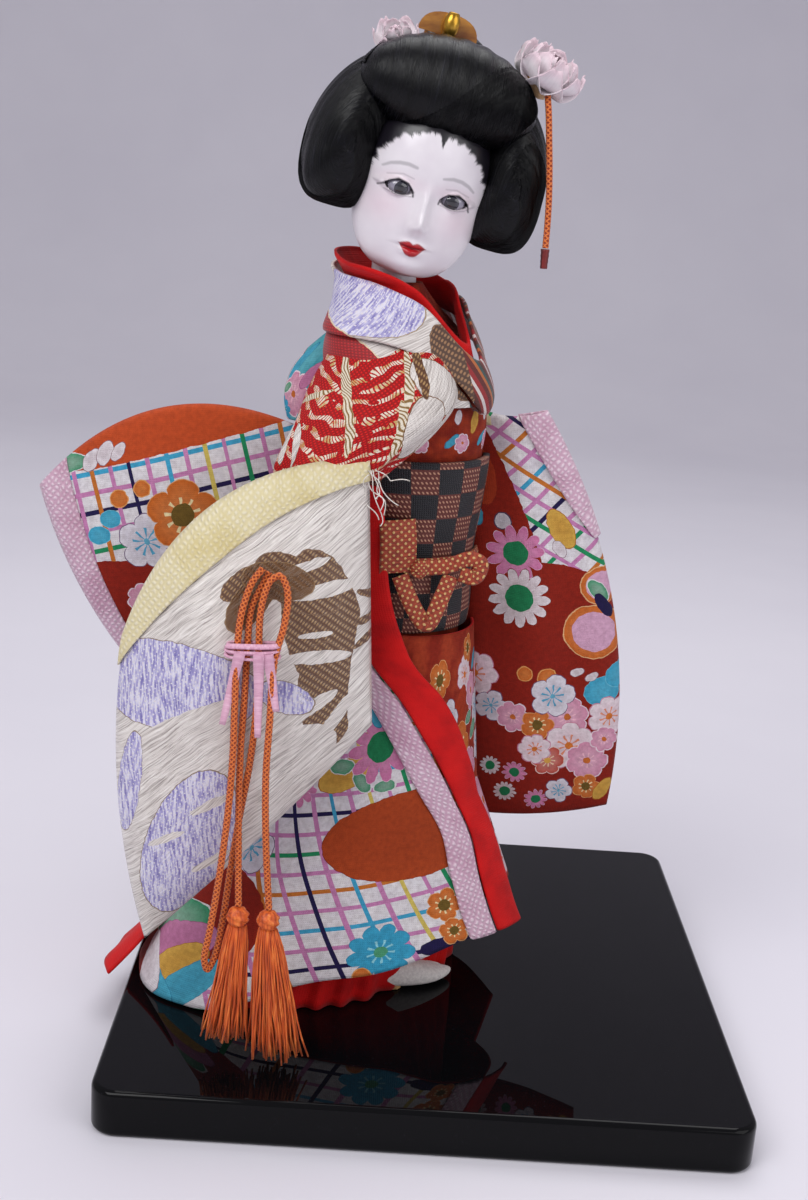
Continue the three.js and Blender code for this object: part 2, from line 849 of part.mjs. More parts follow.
// Upper edge of a collar round the neck, high at the nape and dipping to a V in front
function collarTop(angle) {
  const turn = Math.atan2(Math.sin(angle - front), Math.cos(angle - front));
  return neckBaseHeight + collarRise - collarSlope * Math.cos(turn)
    - collarDip * Math.exp(-((turn / (collarDipAngle * degree)) ** 2));
}

// A collar band: it stands off the neck at its top and lies on the torso at its foot
function collar(stand, drop, width, layer, thickness) {
  const rows = 3;
  const stack = (depth) => Array.from({ length: rows + 1 }, (_, row) => ring(torsoSteps, (angle) => {
    const height = collarTop(angle) - drop - width * row / rows;
    const reach = torsoRadius(angle, height) + layer + stand * (1 - row / rows) ** 1.5;
    return around(torsoMiddle(height), angle, reach - depth, height);
  }));
  return ringWall(stack(0), stack(thickness));
}

// Robe body over the near shoulder, from under its collar down to the sash
function robeBodice() {
  const rows = 4;
  const stack = (offset) => Array.from({ length: rows + 1 }, (_, row) => ring(torsoSteps, (angle) => {
    const top = collarTop(angle) - robeCollarDrop - robeCollarWidth - clearance;
    const height = top + (sashTop + robeBodiceFoot - top) * row / rows;
    return around(torsoMiddle(height), angle, torsoRadius(angle, height) + offset, height);
  }));
  const wall = ringWall(stack(robeLayer + robeCloth), stack(robeLayer));
  const region = sector(torsoMiddle, () => front + robeBodiceTo * degree, () => front + robeBodiceFrom * degree,
    sashTop - robeBodiceCutMargin, neckBaseHeight + robeBodiceCutMargin);
  return shared(wall, region);
}

// A skirt wall all round, from one height over the knee down to a hem
function skirtTube(depth, thickness, top, hem) {
  const stack = (inset) => [0, 0.5, 1].map((t) => ring(skirtSteps, (angle) => (
    skirtPoint(angle, fallHeight(t, top, hem), inset))));
  return ringWall(stack(depth), stack(depth + thickness));
}

// Red petticoat, tucked in at the hem where the foot shows
function petticoat() {
  return loft([[clearance, petticoatInsetHem, petticoatTuck], [kneeHeight, petticoatInsetTop, 0],
    [hipHeight - clearance, petticoatInsetTop, 0]].map(([height, inset, tuck]) => ring(skirtSteps, (angle) => (
    skirtPoint(angle, height, inset + tuck * bulge(angle, petticoatTuckAngle))))));
}

// An open cloth wall on the skirt between two directions, which may change with the height
// Its outer side may lie deeper in folds
function skirtPanel({ from, to, lift, thickness, top, columns, rows, fold }) {
  const loops = [];
  for (let row = 0; row <= rows; row += 1) {
    const t = row / rows;
    const outer = [];
    const inner = [];
    for (let k = 0; k <= columns; k += 1) {
      const share = k / columns;
      const level = fallHeight(t, top, hemHeight(from(kneeHeight) + (to(kneeHeight) - from(kneeHeight)) * share));
      const angle = from(level) + (to(level) - from(level)) * share;
      const height = fallHeight(t, top, hemHeight(angle));
      outer.push(panelPoint(angle, height, lift + thickness + fold(share, t)));
      inner.push(panelPoint(angle, height, lift));
    }
    loops.push([...outer, ...inner.reverse()]);
  }
  return loft(loops, true);
}

// A point off the skirt, or off the sash and its cord above the waist
function panelPoint(angle, height, lift) {
  if (height <= sashBottom) {
    return skirtPoint(angle, height, -lift);
  }
  const overCord = torsoRadius(angle, height) + sashCloth + cordSashThickness + 3 * clearance;
  return around(torsoMiddle(height), angle, Math.max(skirtWaistRadius, overCord) + lift, height);
}

// Printed robe skirt, open in front from the robe's edge round to the far side
function robeSkirt() {
  return skirtPanel({
    from: () => robeBackAngle * degree,
    to: robeEdge,
    lift: 0,
    thickness: skirtCloth,
    top: sashBottom - clearance,
    columns: 22,
    rows: 12,
    fold: (share, t) => skirtFoldDepth * t * Math.sin(Math.PI * skirtFoldCount * share) ** 2 * Math.min(3 - 3 * share, 1),
  });
}

// A band along the robe's front edge, between two distances past the edge
function edgeBand(from, to, top) {
  const past = (distance) => (height) => robeEdge(height) + distance / skirtWidthAt(Math.min(height, sashBottom));
  return skirtPanel({
    from: past(from),
    to: past(to),
    lift: skirtCloth + skirtLayerGap,
    thickness: facingCloth,
    top,
    columns: 2,
    rows: 12,
    fold: () => 0,
  });
}

// Reach of the skirt from its middle line, for turning a distance into an angle
function skirtWidthAt(height) {
  return skirtPoint(0.6, height, 0).sub(new THREE.Vector3(skirtMiddle(height).x, skirtMiddle(height).y, height)).length();
}

// Red lining of the train, turned out at the left of the hem
function trainLining() {
  const loops = [];
  const rows = 4;
  const columns = 5;
  for (let row = 0; row <= rows; row += 1) {
    const height = trainLiningHeight + (clearance - trainLiningHeight) * row / rows;
    const turned = skirtCloth + skirtFoldDepth + skirtLayerGap + trainLiningFlare * (row / rows) ** 2;
    const outer = [];
    const inner = [];
    for (let k = 0; k <= columns; k += 1) {
      const angle = (trainLiningStart - trainLiningSpan * k / columns) * degree;
      outer.push(skirtPoint(angle, height, -turned - facingCloth));
      inner.push(skirtPoint(angle, height, -turned));
    }
    loops.push([...outer, ...inner.reverse()]);
  }
  return loft(loops, true);
}

// Pad-shaped bow of the sash at the back
function sashBow() {
  const away = front + Math.PI;
  const height = sashMiddle + sashBowRise;
  const rim = torsoRadius(away, height) + clearance + sashCloth;
  const pad = ellipsoid([0, 0, 0], [sashBowWidth / 2, sashBowDepth / 2, sashBowHeight / 2], 16, 10);
  const middle = around(torsoMiddle(height), away, rim + sashBowDepth / 2 - sashBowSink, height);
  return pad.rotateZ(away).translate(middle.x, middle.y, middle.z);
}

// Cord sash tied round the sash
function cordSash() {
  const height = sashBottom + cordSashRise;
  const offset = clearance * 2 + sashCloth;
  return torsoWall(offset, cordSashThickness, height, height + cordSashWidth);
}

// Bow of the cord sash: a knot and three loops
function cordSashBow() {
  const height = sashBottom + cordSashRise + cordSashWidth / 2;
  const angle = front + cordBowTurn * degree;
  const knotRadius = cordBowKnotWidth / 2;
  const thin = cordBowLoopThickness / 2;
  const long = cordBowLoopLength / 2;
  const end = cordBowEndLength / 2;
  const rim = torsoRadius(angle, height) + sashCloth + 2.5 + 4 * clearance;
  const knot = ellipsoid([0, -knotRadius / 3, 0], [knotRadius, knotRadius / 1.5, knotRadius], 8, 6);
  const upper = ellipsoid([-6, -1.5, long], [4, thin, long], 8, 6).rotateY(0.2);
  const lower = ellipsoid([3, -1.5, -long - 1], [5, thin, long], 8, 6).rotateY(-0.3);
  const side = ellipsoid([end + 1, -1, 3], [end, thin, 3.5], 8, 6);
  const middle = around(torsoMiddle(height), angle, rim, height);
  return joined(knot, upper, lower, side).rotateZ(angle).translate(middle.x, middle.y, middle.z);
}

// The head's own frame in the doll's frame
const headPose = new THREE.Matrix4().compose(
  new THREE.Vector3(headX, headY, headCentreHeight),
  new THREE.Quaternion().setFromEuler(
    new THREE.Euler(headNod * degree, headTilt * degree, headTurn * degree, 'ZXY')),
  new THREE.Vector3(1, 1, 1),
);
const dollToHead = headPose.clone().invert();
const neckAxis = torsoMiddle(neckBaseHeight);
const coreTop = neckBaseHeight - torsoStep;
const neckFoot = coreTop + clearance;
const neckTop = headCentreHeight - chinDepth / 4;

// Upright round bar about the neck's axis, in the head's frame
function neckBar(diameter, low, high) {
  const bar = new THREE.CylinderGeometry(diameter / 2, diameter / 2, high - low, 16).rotateX(Math.PI / 2);
  return bar.translate(neckAxis.x, neckAxis.y, (low + high) / 2).applyMatrix4(dollToHead);
}

// Bare head without its eye sockets: a loft from chin to crown with a nose
function skull() {
  const half = [[-chinDepth, 2], [-chinDepth + 2, 9], [-0.78 * chinDepth, 14.5], [-0.5 * chinDepth, 20.5],
    [-0.1 * chinDepth, faceHalfWidth], [0.35 * crownHeight, faceHalfWidth], [0.7 * crownHeight, 18.5],
    [0.92 * crownHeight, 9], [crownHeight, 2]];
  const deep = [[-chinDepth, 2], [-chinDepth + 2, 8], [-0.78 * chinDepth, 14], [-0.5 * chinDepth, 19],
    [-0.1 * chinDepth, faceDepth - 1], [0.35 * crownHeight, faceDepth], [0.7 * crownHeight, 20],
    [0.92 * crownHeight, 10], [crownHeight, 2]];
  const loops = [];
  const rows = 11;
  for (let row = 0; row <= rows; row += 1) {
    const z = -chinDepth + (chinDepth + crownHeight) * (0.5 - 0.5 * Math.cos(Math.PI * row / rows));
    const back = -8 * Math.min(Math.max(-z / chinDepth, 0), 1) ** 1.3;
    const loop = [];
    for (let k = 0; k < 20; k += 1) {
      const angle = 2 * Math.PI * k / 20;
      loop.push(new THREE.Vector3(along(half, z) * Math.sin(angle), back - along(deep, z) * Math.cos(angle), z));
    }
    loops.push(loop);
  }
  const nose = ellipsoid([0, -faceDepth + 1, -7], [3.2, 5, 6], 10, 8);
  return joined(loft(loops), nose);
}

function eye(side) {
  return ellipsoid([side * eyeSpread, -faceDepth + 4.6, eyeHeight], [eyeRadius, eyeRadius * 0.8, eyeRadius * 0.7], 10, 6);
}

// Neck peg, half in the neck and half in the torso's bore
function neckPeg() {
  return neckBar(pegDiameter, neckFoot - pegReach, neckFoot + pegInNeck);
}

function head() {
  const neck = neckBar(neckDiameter, neckFoot, neckTop);
  return cut(joined(skull(), neck), eye(-1), eye(1), neckPeg());
}

// One cup of petals that opens along +Z: its rim goes in and out once for each petal
function petalCup(length, count, lean) {
  const profile = [[0.12, 0], [0.55, 0], [1, 0], [0.98, 1], [0.55, 1], [0.12, 1]];
  return loft(profile.map(([share, upper]) => ring(count * 4, (angle) => {
    const lobe = 0.78 + 0.22 * Math.cos(count * angle);
    const reach = length * share * (share > 0.3 ? lobe : 1);
    const rise = reach * Math.cos(lean) + upper * petalThickness;
    return new THREE.Vector3(reach * Math.sin(lean) * Math.cos(angle), reach * Math.sin(lean) * Math.sin(angle), rise);
  })));
}

// A flower of one or two cups of petals, with a round heart that rests at the origin
function blossom(length, count, innerCount) {
  const cups = [petalCup(length, count, outerPetalLean * degree)];
  if (innerCount > 0) {
    cups.push(petalCup(length * innerPetalShare, innerCount, innerPetalLean * degree));
  }
  const heartRadius = length * flowerHeart;
  const heart = ellipsoid([0, 0, heartRadius], [heartRadius, heartRadius, heartRadius], 8, 6);
  return joined(heart, ...cups);
}

// A shape made along +Z, turned to point one way and put in place
function aimed(shape, way, place) {
  const turn = new THREE.Quaternion().setFromUnitVectors(new THREE.Vector3(0, 0, 1), way.clone().normalize());
  return shape.applyQuaternion(turn).translate(place.x, place.y, place.z);
}

// Hairpins: where each leaves the hair and which way it points, in the head's frame
const rightPin = { place: new THREE.Vector3(29, 2, 46), way: new THREE.Vector3(0.78, -0.25, 0.57) };
const leftPin = { place: new THREE.Vector3(-22, 6, 47), way: new THREE.Vector3(-0.5, 0.1, 0.86) };
const combPlace = new THREE.Vector3(-5, 8, 54);

function pin({ place, way }) {
  const stem = rod([new THREE.Vector3(0, 0, -pinReach), new THREE.Vector3(0, 0, -clearance)], pinDiameter, 8, 2);
  return aimed(stem, way, place);
}

// Beige cap under the right flower, with its gold bead
function flowerCap() {
  const cone = new THREE.LatheGeometry([
    new THREE.Vector2(0, 0.2), new THREE.Vector2(3.2, 0.2), new THREE.Vector2(flowerCapRadius, flowerCapHeight),
    new THREE.Vector2(0, flowerCapHeight),
  ], 14).rotateX(Math.PI / 2);
  const bead = ellipsoid([-4.6, -3, 2], [2, 2, 2], 8, 6);
  return aimed(joined(cone, bead), rightPin.way, rightPin.place);
}

function flower(pinOf, length, count, innerCount, seat) {
  const way = pinOf.way.clone().normalize();
  return aimed(blossom(length, count, innerCount), way, pinOf.place.clone().addScaledVector(way, seat));
}

// Half-moon comb with teeth in the hair
function comb() {
  const outline = new THREE.Shape();
  outline.moveTo(-combWidth / 2, 0);
  outline.quadraticCurveTo(-combWidth / 2, combHeight, 0, combHeight);
  outline.quadraticCurveTo(combWidth / 2, combHeight, combWidth / 2, 0);
  outline.closePath();
  const plate = new THREE.ExtrudeGeometry(outline, { depth: combThickness, bevelEnabled: false, curveSegments: 8 });
  plate.rotateX(Math.PI / 2).translate(0, combThickness / 2, 0);
  const teeth = [];
  for (let k = 0; k < combTeeth; k += 1) {
    const x = combWidth * ((k + 0.5) / combTeeth - 0.5) * 0.88;
    teeth.push(new THREE.BoxGeometry(1.2, combThickness * 0.7, combToothLength + 1)
      .translate(x, 0, (1 - combToothLength) / 2));
  }
  return joined(plate, ...teeth).translate(combPlace.x, combPlace.y, combPlace.z);
}

// Gold barrel bead in front of the comb
function combBead() {
  const half = beadLength / 2;
  const bead = new THREE.LatheGeometry([
    new THREE.Vector2(0, -half), new THREE.Vector2(beadDiameter * 0.36, -half),
    new THREE.Vector2(beadDiameter / 2, -half * 0.4), new THREE.Vector2(beadDiameter / 2, half * 0.4),
    new THREE.Vector2(beadDiameter * 0.36, half), new THREE.Vector2(0, half),
  ], 14);
  bead.rotateX(Math.PI / 2);
  return bead.translate(combPlace.x, combPlace.y - combThickness / 2 - beadDiameter / 2 - clearance,
    combPlace.z + combHeight * 0.5);
}

// Cord hanging from the right flower's cap, over the hair's side wing, in the doll's frame
const capHang = rightPin.place.clone().add(new THREE.Vector3(5, -9, -1)).applyMatrix4(headPose);
const danglePoints = [
  [0, 0, 0], [0.8, -1.4, -6], [1.6, -2.2, -14], [2.6, -2.6, -24], [3.4, -2.4, -34], [3.8, -2, -44], [3.8, -2, -53],
].map(([x, y, z]) => new THREE.Vector3(capHang.x + x, capHang.y + y, capHang.z + z));

function dangleCord() {
  return rod(danglePoints, dangleDiameter, 8, 9);
}

function dangleTip() {
  const end = danglePoints[danglePoints.length - 1];
  const tip = new THREE.CylinderGeometry(dangleDiameter / 2 + 0.1, dangleDiameter / 2 - 0.2, dangleTipLength, 10);
  return tip.rotateX(Math.PI / 2).translate(end.x, end.y, end.z - dangleTipLength / 2 - clearance);
}

// Tasselled cord: one stitch on the robe sleeve, and routes from it in millimetres right, back and up
// All strands lie over the sleeve's swell first, and hang straight below it
const stitch = robeSleeveSurface(...cordStitch, 1);
const shortRoute = [
  [-1.4, 0.6, -1], [-3.7, 1, -6], [-6.8, 1.4, -14], [-7.2, 1.6, -28], [-7.2, 1.7, -44],
  [-7.7, 1.7, -62], [-7.5, 1.6, -84], [-6.8, 1.4, -104], [-6, 0.8, -122],
];
const longRoute = [
  [-3.5, -1.6, 0.6], [-7.2, -1.5, -5], [-10, -1.2, -16], [-10.4, -1.2, -30], [-10.2, -1.2, -46],
  [-10.1, -1.2, -66], [-11.1, -1.2, -88], [-13.3, -1.2, -112], [-15.8, -1, -132], [-17.4, -0.6, -143],
  [-16.2, 0.6, -148], [-13.8, 1.8, -143], [-11.7, 3, -130], [-9.9, 4.2, -112], [-7.4, 4.6, -90],
  [-4.4, 3.6, -68], [-2.8, 1.6, -46], [-3.1, 0.6, -28], [-3.3, -0.8, -14], [-1, -2, -4],
  [2.7, -2, -1.6], [5.6, -1.8, -7], [5.3, -1.4, -17], [2.6, -1.2, -30], [2.2, -1.2, -50],
  [1.8, -1.2, -72], [2.9, -1, -96], [5.1, -0.6, -122],
];

function routeAt(route) {
  return route.map(([x, y, z]) => new THREE.Vector3(stitch.x + x, stitch.y + y + along(cordLay, z), stitch.z + z));
}

function tasselCord(route, steps) {
  return rod(routeAt(route), cordDiameter, 8, steps);
}

// A tassel under a cord's end: a knotted head and a fluted skirt of threads that leans to one side
function tasselHead(route) {
  const end = routeAt(route).pop();
  const radius = tasselHeadDiameter / 2;
  return ellipsoid([end.x, end.y, end.z - radius - clearance], [radius, radius * 0.9, radius], 10, 8);
}

function tasselSkirt(route, length, radius, lean) {
  const end = routeAt(route).pop();
  const top = end.z - tasselHeadDiameter - 2 * clearance;
  return loft([0, 0.12, 0.4, 0.7, 1].map((t) => ring(20, (angle) => {
    const flute = 1 + 0.07 * Math.sin(5 * angle) * Math.min(3 * t, 1);
    const reach = (tasselTopRadius + (radius - tasselTopRadius) * t ** 0.7) * flute;
    const middle = end.x + lean * t;
    return new THREE.Vector3(middle + reach * Math.cos(angle), end.y + 0.65 * reach * Math.sin(angle),
      top - (length - tasselHeadDiameter) * t);
  })));
}

function cordTie() {
  const [middle] = routeAt([[-5.2, 0, -tieDrop]]);
  return new THREE.BoxGeometry(tieWidth, tieDepth, tieHeight).translate(...middle);
}

// Finishes, with the colour, roughness and metalness of each material
function finish(color, roughness, metalness = 0) {
  return new THREE.MeshStandardMaterial({ color, roughness, metalness });
}

const finishes = {
  lacquer: finish(0x0a0a0c, 0.15),
  steel: finish(0x9a9a9c, 0.4, 0.9),
  wood: finish(0xb08a5a, 0.7),
  stuffing: finish(0xcfc2a4, 0.95),
  whiteCloth: finish(0xe6e1dc, 0.9),
  redCloth: finish(0xb3121a, 0.85),
  pinkCrepe: finish(0xc9a3b8, 0.9),
  print: finish(0xb5432a, 0.85),
  brocade: finish(0xd9d2cc, 0.6),
  redBrocade: finish(0xb32a22, 0.6),
  creamCrepe: finish(0xd8cfa2, 0.9),
  sash: finish(0x2a1c1c, 0.7),
  cordSash: finish(0xa8401a, 0.6),
  orangeCord: finish(0xc4521c, 0.65),
  darkTip: finish(0x6b1210, 0.6),
  pinkPaper: finish(0xe0a8c4, 0.8),
  skin: finish(0xe6e1e6, 0.3),
  glassEye: finish(0x2a2a32, 0.1),
  hair: finish(0x0b0b12, 0.45),
  gold: finish(0xb5862a, 0.3, 0.9),
  petal: finish(0xe8dce2, 0.6),
};

const doll = new THREE.Group();

function place(group, name, geometry, material) {
  const bare = geometry.clone();
  bare.deleteAttribute('uv');
  bare.deleteAttribute('normal');
  const merged = mergeVertices(bare, 1e-4);
  merged.computeVertexNormals();
  const mesh = new THREE.Mesh(merged, finishes[material]);
  mesh.name = name;
  group.add(mesh);
}

// The body group stands on the board, and the head group is posed on the neck
const body = new THREE.Group();
body.position.set(standX, standY, boardHeight);
const headGroup = new THREE.Group();
headGroup.applyMatrix4(headPose);
body.add(headGroup);
doll.add(body);

// Everything below is in the body's frame, except the head's pieces
const legs = [leg(1), leg(-1)];
const screws = [screw(1), screw(-1)];
const feet = [foot(1), foot(-1)];
const arms = [arm(1), arm(-1)];
const hands = [hand(1), hand(-1)];
const headWithNeck = head();
const neckInDoll = neckBar(neckDiameter, neckFoot, neckTop).applyMatrix4(headPose);
const pegInDoll = neckPeg().applyMatrix4(headPose);

// Torso stuffing, its bodice and its sash
const coreRaw = torsoBlock(-bodiceCloth - 2 * clearance, hipHeight, coreTop);
const bodiceRaw = torsoWall(-bodiceCloth, bodiceCloth, sashBottom - 8, neckBaseHeight);
const sashBand = torsoWall(clearance, sashCloth, sashBottom, sashTop);
const robeBodiceRaw = robeBodice();
const innerCollarRaw = collar(collarStand, 0, innerCollarWidth, collarLayer + collarCloth, collarCloth);
const robeCollarRaw = collar(collarStand, robeCollarDrop, robeCollarWidth, robeLayer + collarCloth + 1, collarCloth);

// The space that the dressed body takes, for cutting the sleeves back
const skirtSkin = skirtCloth + skirtFoldDepth + skirtLayerGap;
const torsoEnvelope = torsoBlock(sashCloth + cordSashThickness + 4 * clearance, hipHeight, neckBaseHeight);
const skirtEnvelope = loft([0, kneeHeight, sashBottom].map((height) => ring(skirtSteps, (angle) => (
  skirtPoint(angle, height, -skirtSkin)))));

const robeSleeveRaw = bagSolid(robeSleeveSurface, robeSleeveNet);
const rightSleeveRaw = bagSolid(rightSleeveSurface, rightSleeveNet);
const leftSleeveRaw = bagSolid(leftSleeveSurface, leftSleeveNet);
const petticoatRaw = petticoat();
const kimonoSkirtRaw = skirtTube(skirtLayerGap, kimonoCloth, sashBottom - clearance, kimonoHemHeight);
const robeSkirtRaw = robeSkirt();

place(doll, 'base_board', cut(board(),
  ...[0, 1].map((i) => screws[i].clone().translate(standX, standY, boardHeight)),
  ...[1, -1].map((side) => screwWay(side).translate(standX, standY, boardHeight))), 'lacquer');
['right', 'left'].forEach((side, i) => {
  place(body, `base_screw_${side}`, screws[i], 'steel');
  place(body, `leg_dowel_${side}`, cut(legs[i], screws[i]), 'wood');
  place(body, `foot_${side}`, cut(feet[i], legs[i], screws[i]), 'whiteCloth');
  place(body, `arm_wire_${side}`, arms[i], 'stuffing');
  place(body, `hand_${side}`, hands[i], 'skin');
});
place(body, 'torso_core', cut(coreRaw, ...legs, ...arms, pegInDoll), 'stuffing');
place(body, 'petticoat', cut(petticoatRaw, ...legs, ...feet), 'redCloth');
place(body, 'kimono_skirt', kimonoSkirtRaw, 'print');
place(body, 'robe_skirt', robeSkirtRaw, 'print');
const facingBand = edgeBand(-facingBandWidth, -clearance, edgeTopHeight);
const liningBand = edgeBand(clearance, liningBandWidth, edgeTopHeight);
place(body, 'robe_front_facing', facingBand, 'pinkCrepe');
place(body, 'robe_front_lining', liningBand, 'redCloth');
place(body, 'train_lining', trainLining(), 'redCloth');
place(body, 'kimono_bodice', cut(bodiceRaw, ...arms, neckInDoll), 'print');
place(body, 'sash_band', cut(sashBand, ...arms), 'sash');
place(body, 'sash_bow', cut(sashBow(), sashBand, cordSash()), 'sash');
place(body, 'cord_sash', cordSash(), 'cordSash');
place(body, 'cord_sash_bow', cut(cordSashBow(), cordSash(), sashBand, liningBand), 'cordSash');
place(body, 'robe_bodice', cut(robeBodiceRaw, bodiceRaw, ...arms), 'brocade');
place(body, 'inner_collar', cut(innerCollarRaw, bodiceRaw, robeBodiceRaw, neckInDoll), 'redCloth');
place(body, 'robe_collar', cut(robeCollarRaw, innerCollarRaw, bodiceRaw, robeBodiceRaw, ...arms), 'brocade');
const upperSleeveRaw = bell(upperSleeveStations);
const rightShoulderRaw = bell(rightShoulderStations);
place(body, 'robe_upper_sleeve',
  cut(upperSleeveRaw, torsoEnvelope, robeCollarRaw, arms[0]), 'redBrocade');
place(body, 'robe_sleeve', cut(robeSleeveRaw, upperSleeveRaw, arms[0], hands[0]), 'brocade');
place(body, 'robe_sleeve_facing', cut(bagStrip(robeSleeveSurface, robeSleeveNet, 0, 2), upperSleeveRaw), 'creamCrepe');
place(body, 'kimono_shoulder_right', cut(rightShoulderRaw, torsoEnvelope, upperSleeveRaw, arms[0]), 'print');
place(body, 'kimono_sleeve_right', cut(rightSleeveRaw, torsoEnvelope, upperSleeveRaw, rightShoulderRaw), 'print');
place(body, 'sleeve_facing_right', bagStrip(rightSleeveSurface, rightSleeveNet, 8, 7), 'pinkCrepe');
place(body, 'kimono_sleeve_left', cut(leftSleeveRaw, torsoEnvelope, skirtEnvelope, arms[1], hands[1]), 'print');
place(body, 'sleeve_facing_left', bagStrip(leftSleeveSurface, leftSleeveNet, 6, 5), 'pinkCrepe');

place(body, 'tassel_cord_short', tasselCord(shortRoute, 18), 'orangeCord');
place(body, 'tassel_cord_long', tasselCord(longRoute, 52), 'orangeCord');
place(body, 'tassel_head_left', tasselHead(shortRoute), 'orangeCord');
place(body, 'tassel_head_right', tasselHead(longRoute), 'orangeCord');
place(body, 'tassel_skirt_left', tasselSkirt(shortRoute, leftTasselLength, leftTasselRadius, leftTasselLean), 'orangeCord');
place(body, 'tassel_skirt_right', tasselSkirt(longRoute, rightTasselLength, rightTasselRadius, rightTasselLean), 'orangeCord');
place(body, 'cord_tie', cut(cordTie(), robeSleeveRaw, tasselCord(shortRoute, 18), tasselCord(longRoute, 52)), 'pinkPaper');

// Head, eyes and hair
const pins = [pin(rightPin), pin(leftPin)];
const combSolid = comb();
const headBare = joined(skull(), neckBar(neckDiameter, neckFoot, neckTop));
const frontRoll = ellipsoid([0, -frontRollForward, frontRollRise], [frontRollWidth, frontRollDepth, frontRollHeight], 16, 9);
const wings = [1, -1].map((side) => ellipsoid([side * wingSpread, wingBehind, wingRise], [wingWidth, wingDepth, wingHeight], 13, 9));
const backHair = ellipsoid([0, backHairBehind, backHairRise], [backHairWidth, backHairDepth, backHairHeight], 14, 9);
const topknot = ellipsoid([0, topknotBehind, topknotRise], [topknotRadius, topknotRadius * 0.9, topknotRadius * 0.8], 12, 8);
place(headGroup, 'head', headWithNeck, 'skin');
place(headGroup, 'neck_peg', neckPeg(), 'wood');
place(headGroup, 'eye_right', eye(-1), 'glassEye');
place(headGroup, 'eye_left', eye(1), 'glassEye');
place(headGroup, 'hair_front_roll', cut(frontRoll, headBare, combSolid, combBead(), ...pins), 'hair');
place(headGroup, 'hair_wing_left', cut(wings[0], headBare, frontRoll, ...pins), 'hair');
place(headGroup, 'hair_wing_right', cut(wings[1], headBare, frontRoll, ...pins), 'hair');
place(headGroup, 'hair_back', cut(backHair, headBare, frontRoll, ...wings), 'hair');
place(headGroup, 'hair_topknot', cut(topknot, frontRoll, backHair, combSolid, ...pins), 'hair');

// Ornaments
place(headGroup, 'flower_right', flower(rightPin, bigPetalLength, bigPetalCount, bigPetalCount - 2, flowerCapHeight + clearance), 'petal');
place(headGroup, 'flower_right_cap', flowerCap(), 'gold');
place(headGroup, 'flower_right_pin', pins[0], 'gold');
place(headGroup, 'flower_left', flower(leftPin, smallPetalLength, smallPetalCount, 0, 0), 'petal');
place(headGroup, 'flower_left_pin', pins[1], 'gold');
place(headGroup, 'comb', combSolid, 'gold');
place(headGroup, 'comb_bead', combBead(), 'gold');
place(body, 'dangle_cord', dangleCord(), 'orangeCord');
place(body, 'dangle_tip', dangleTip(), 'darkTip');

export default doll;
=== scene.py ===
import json
import math
from functools import partial

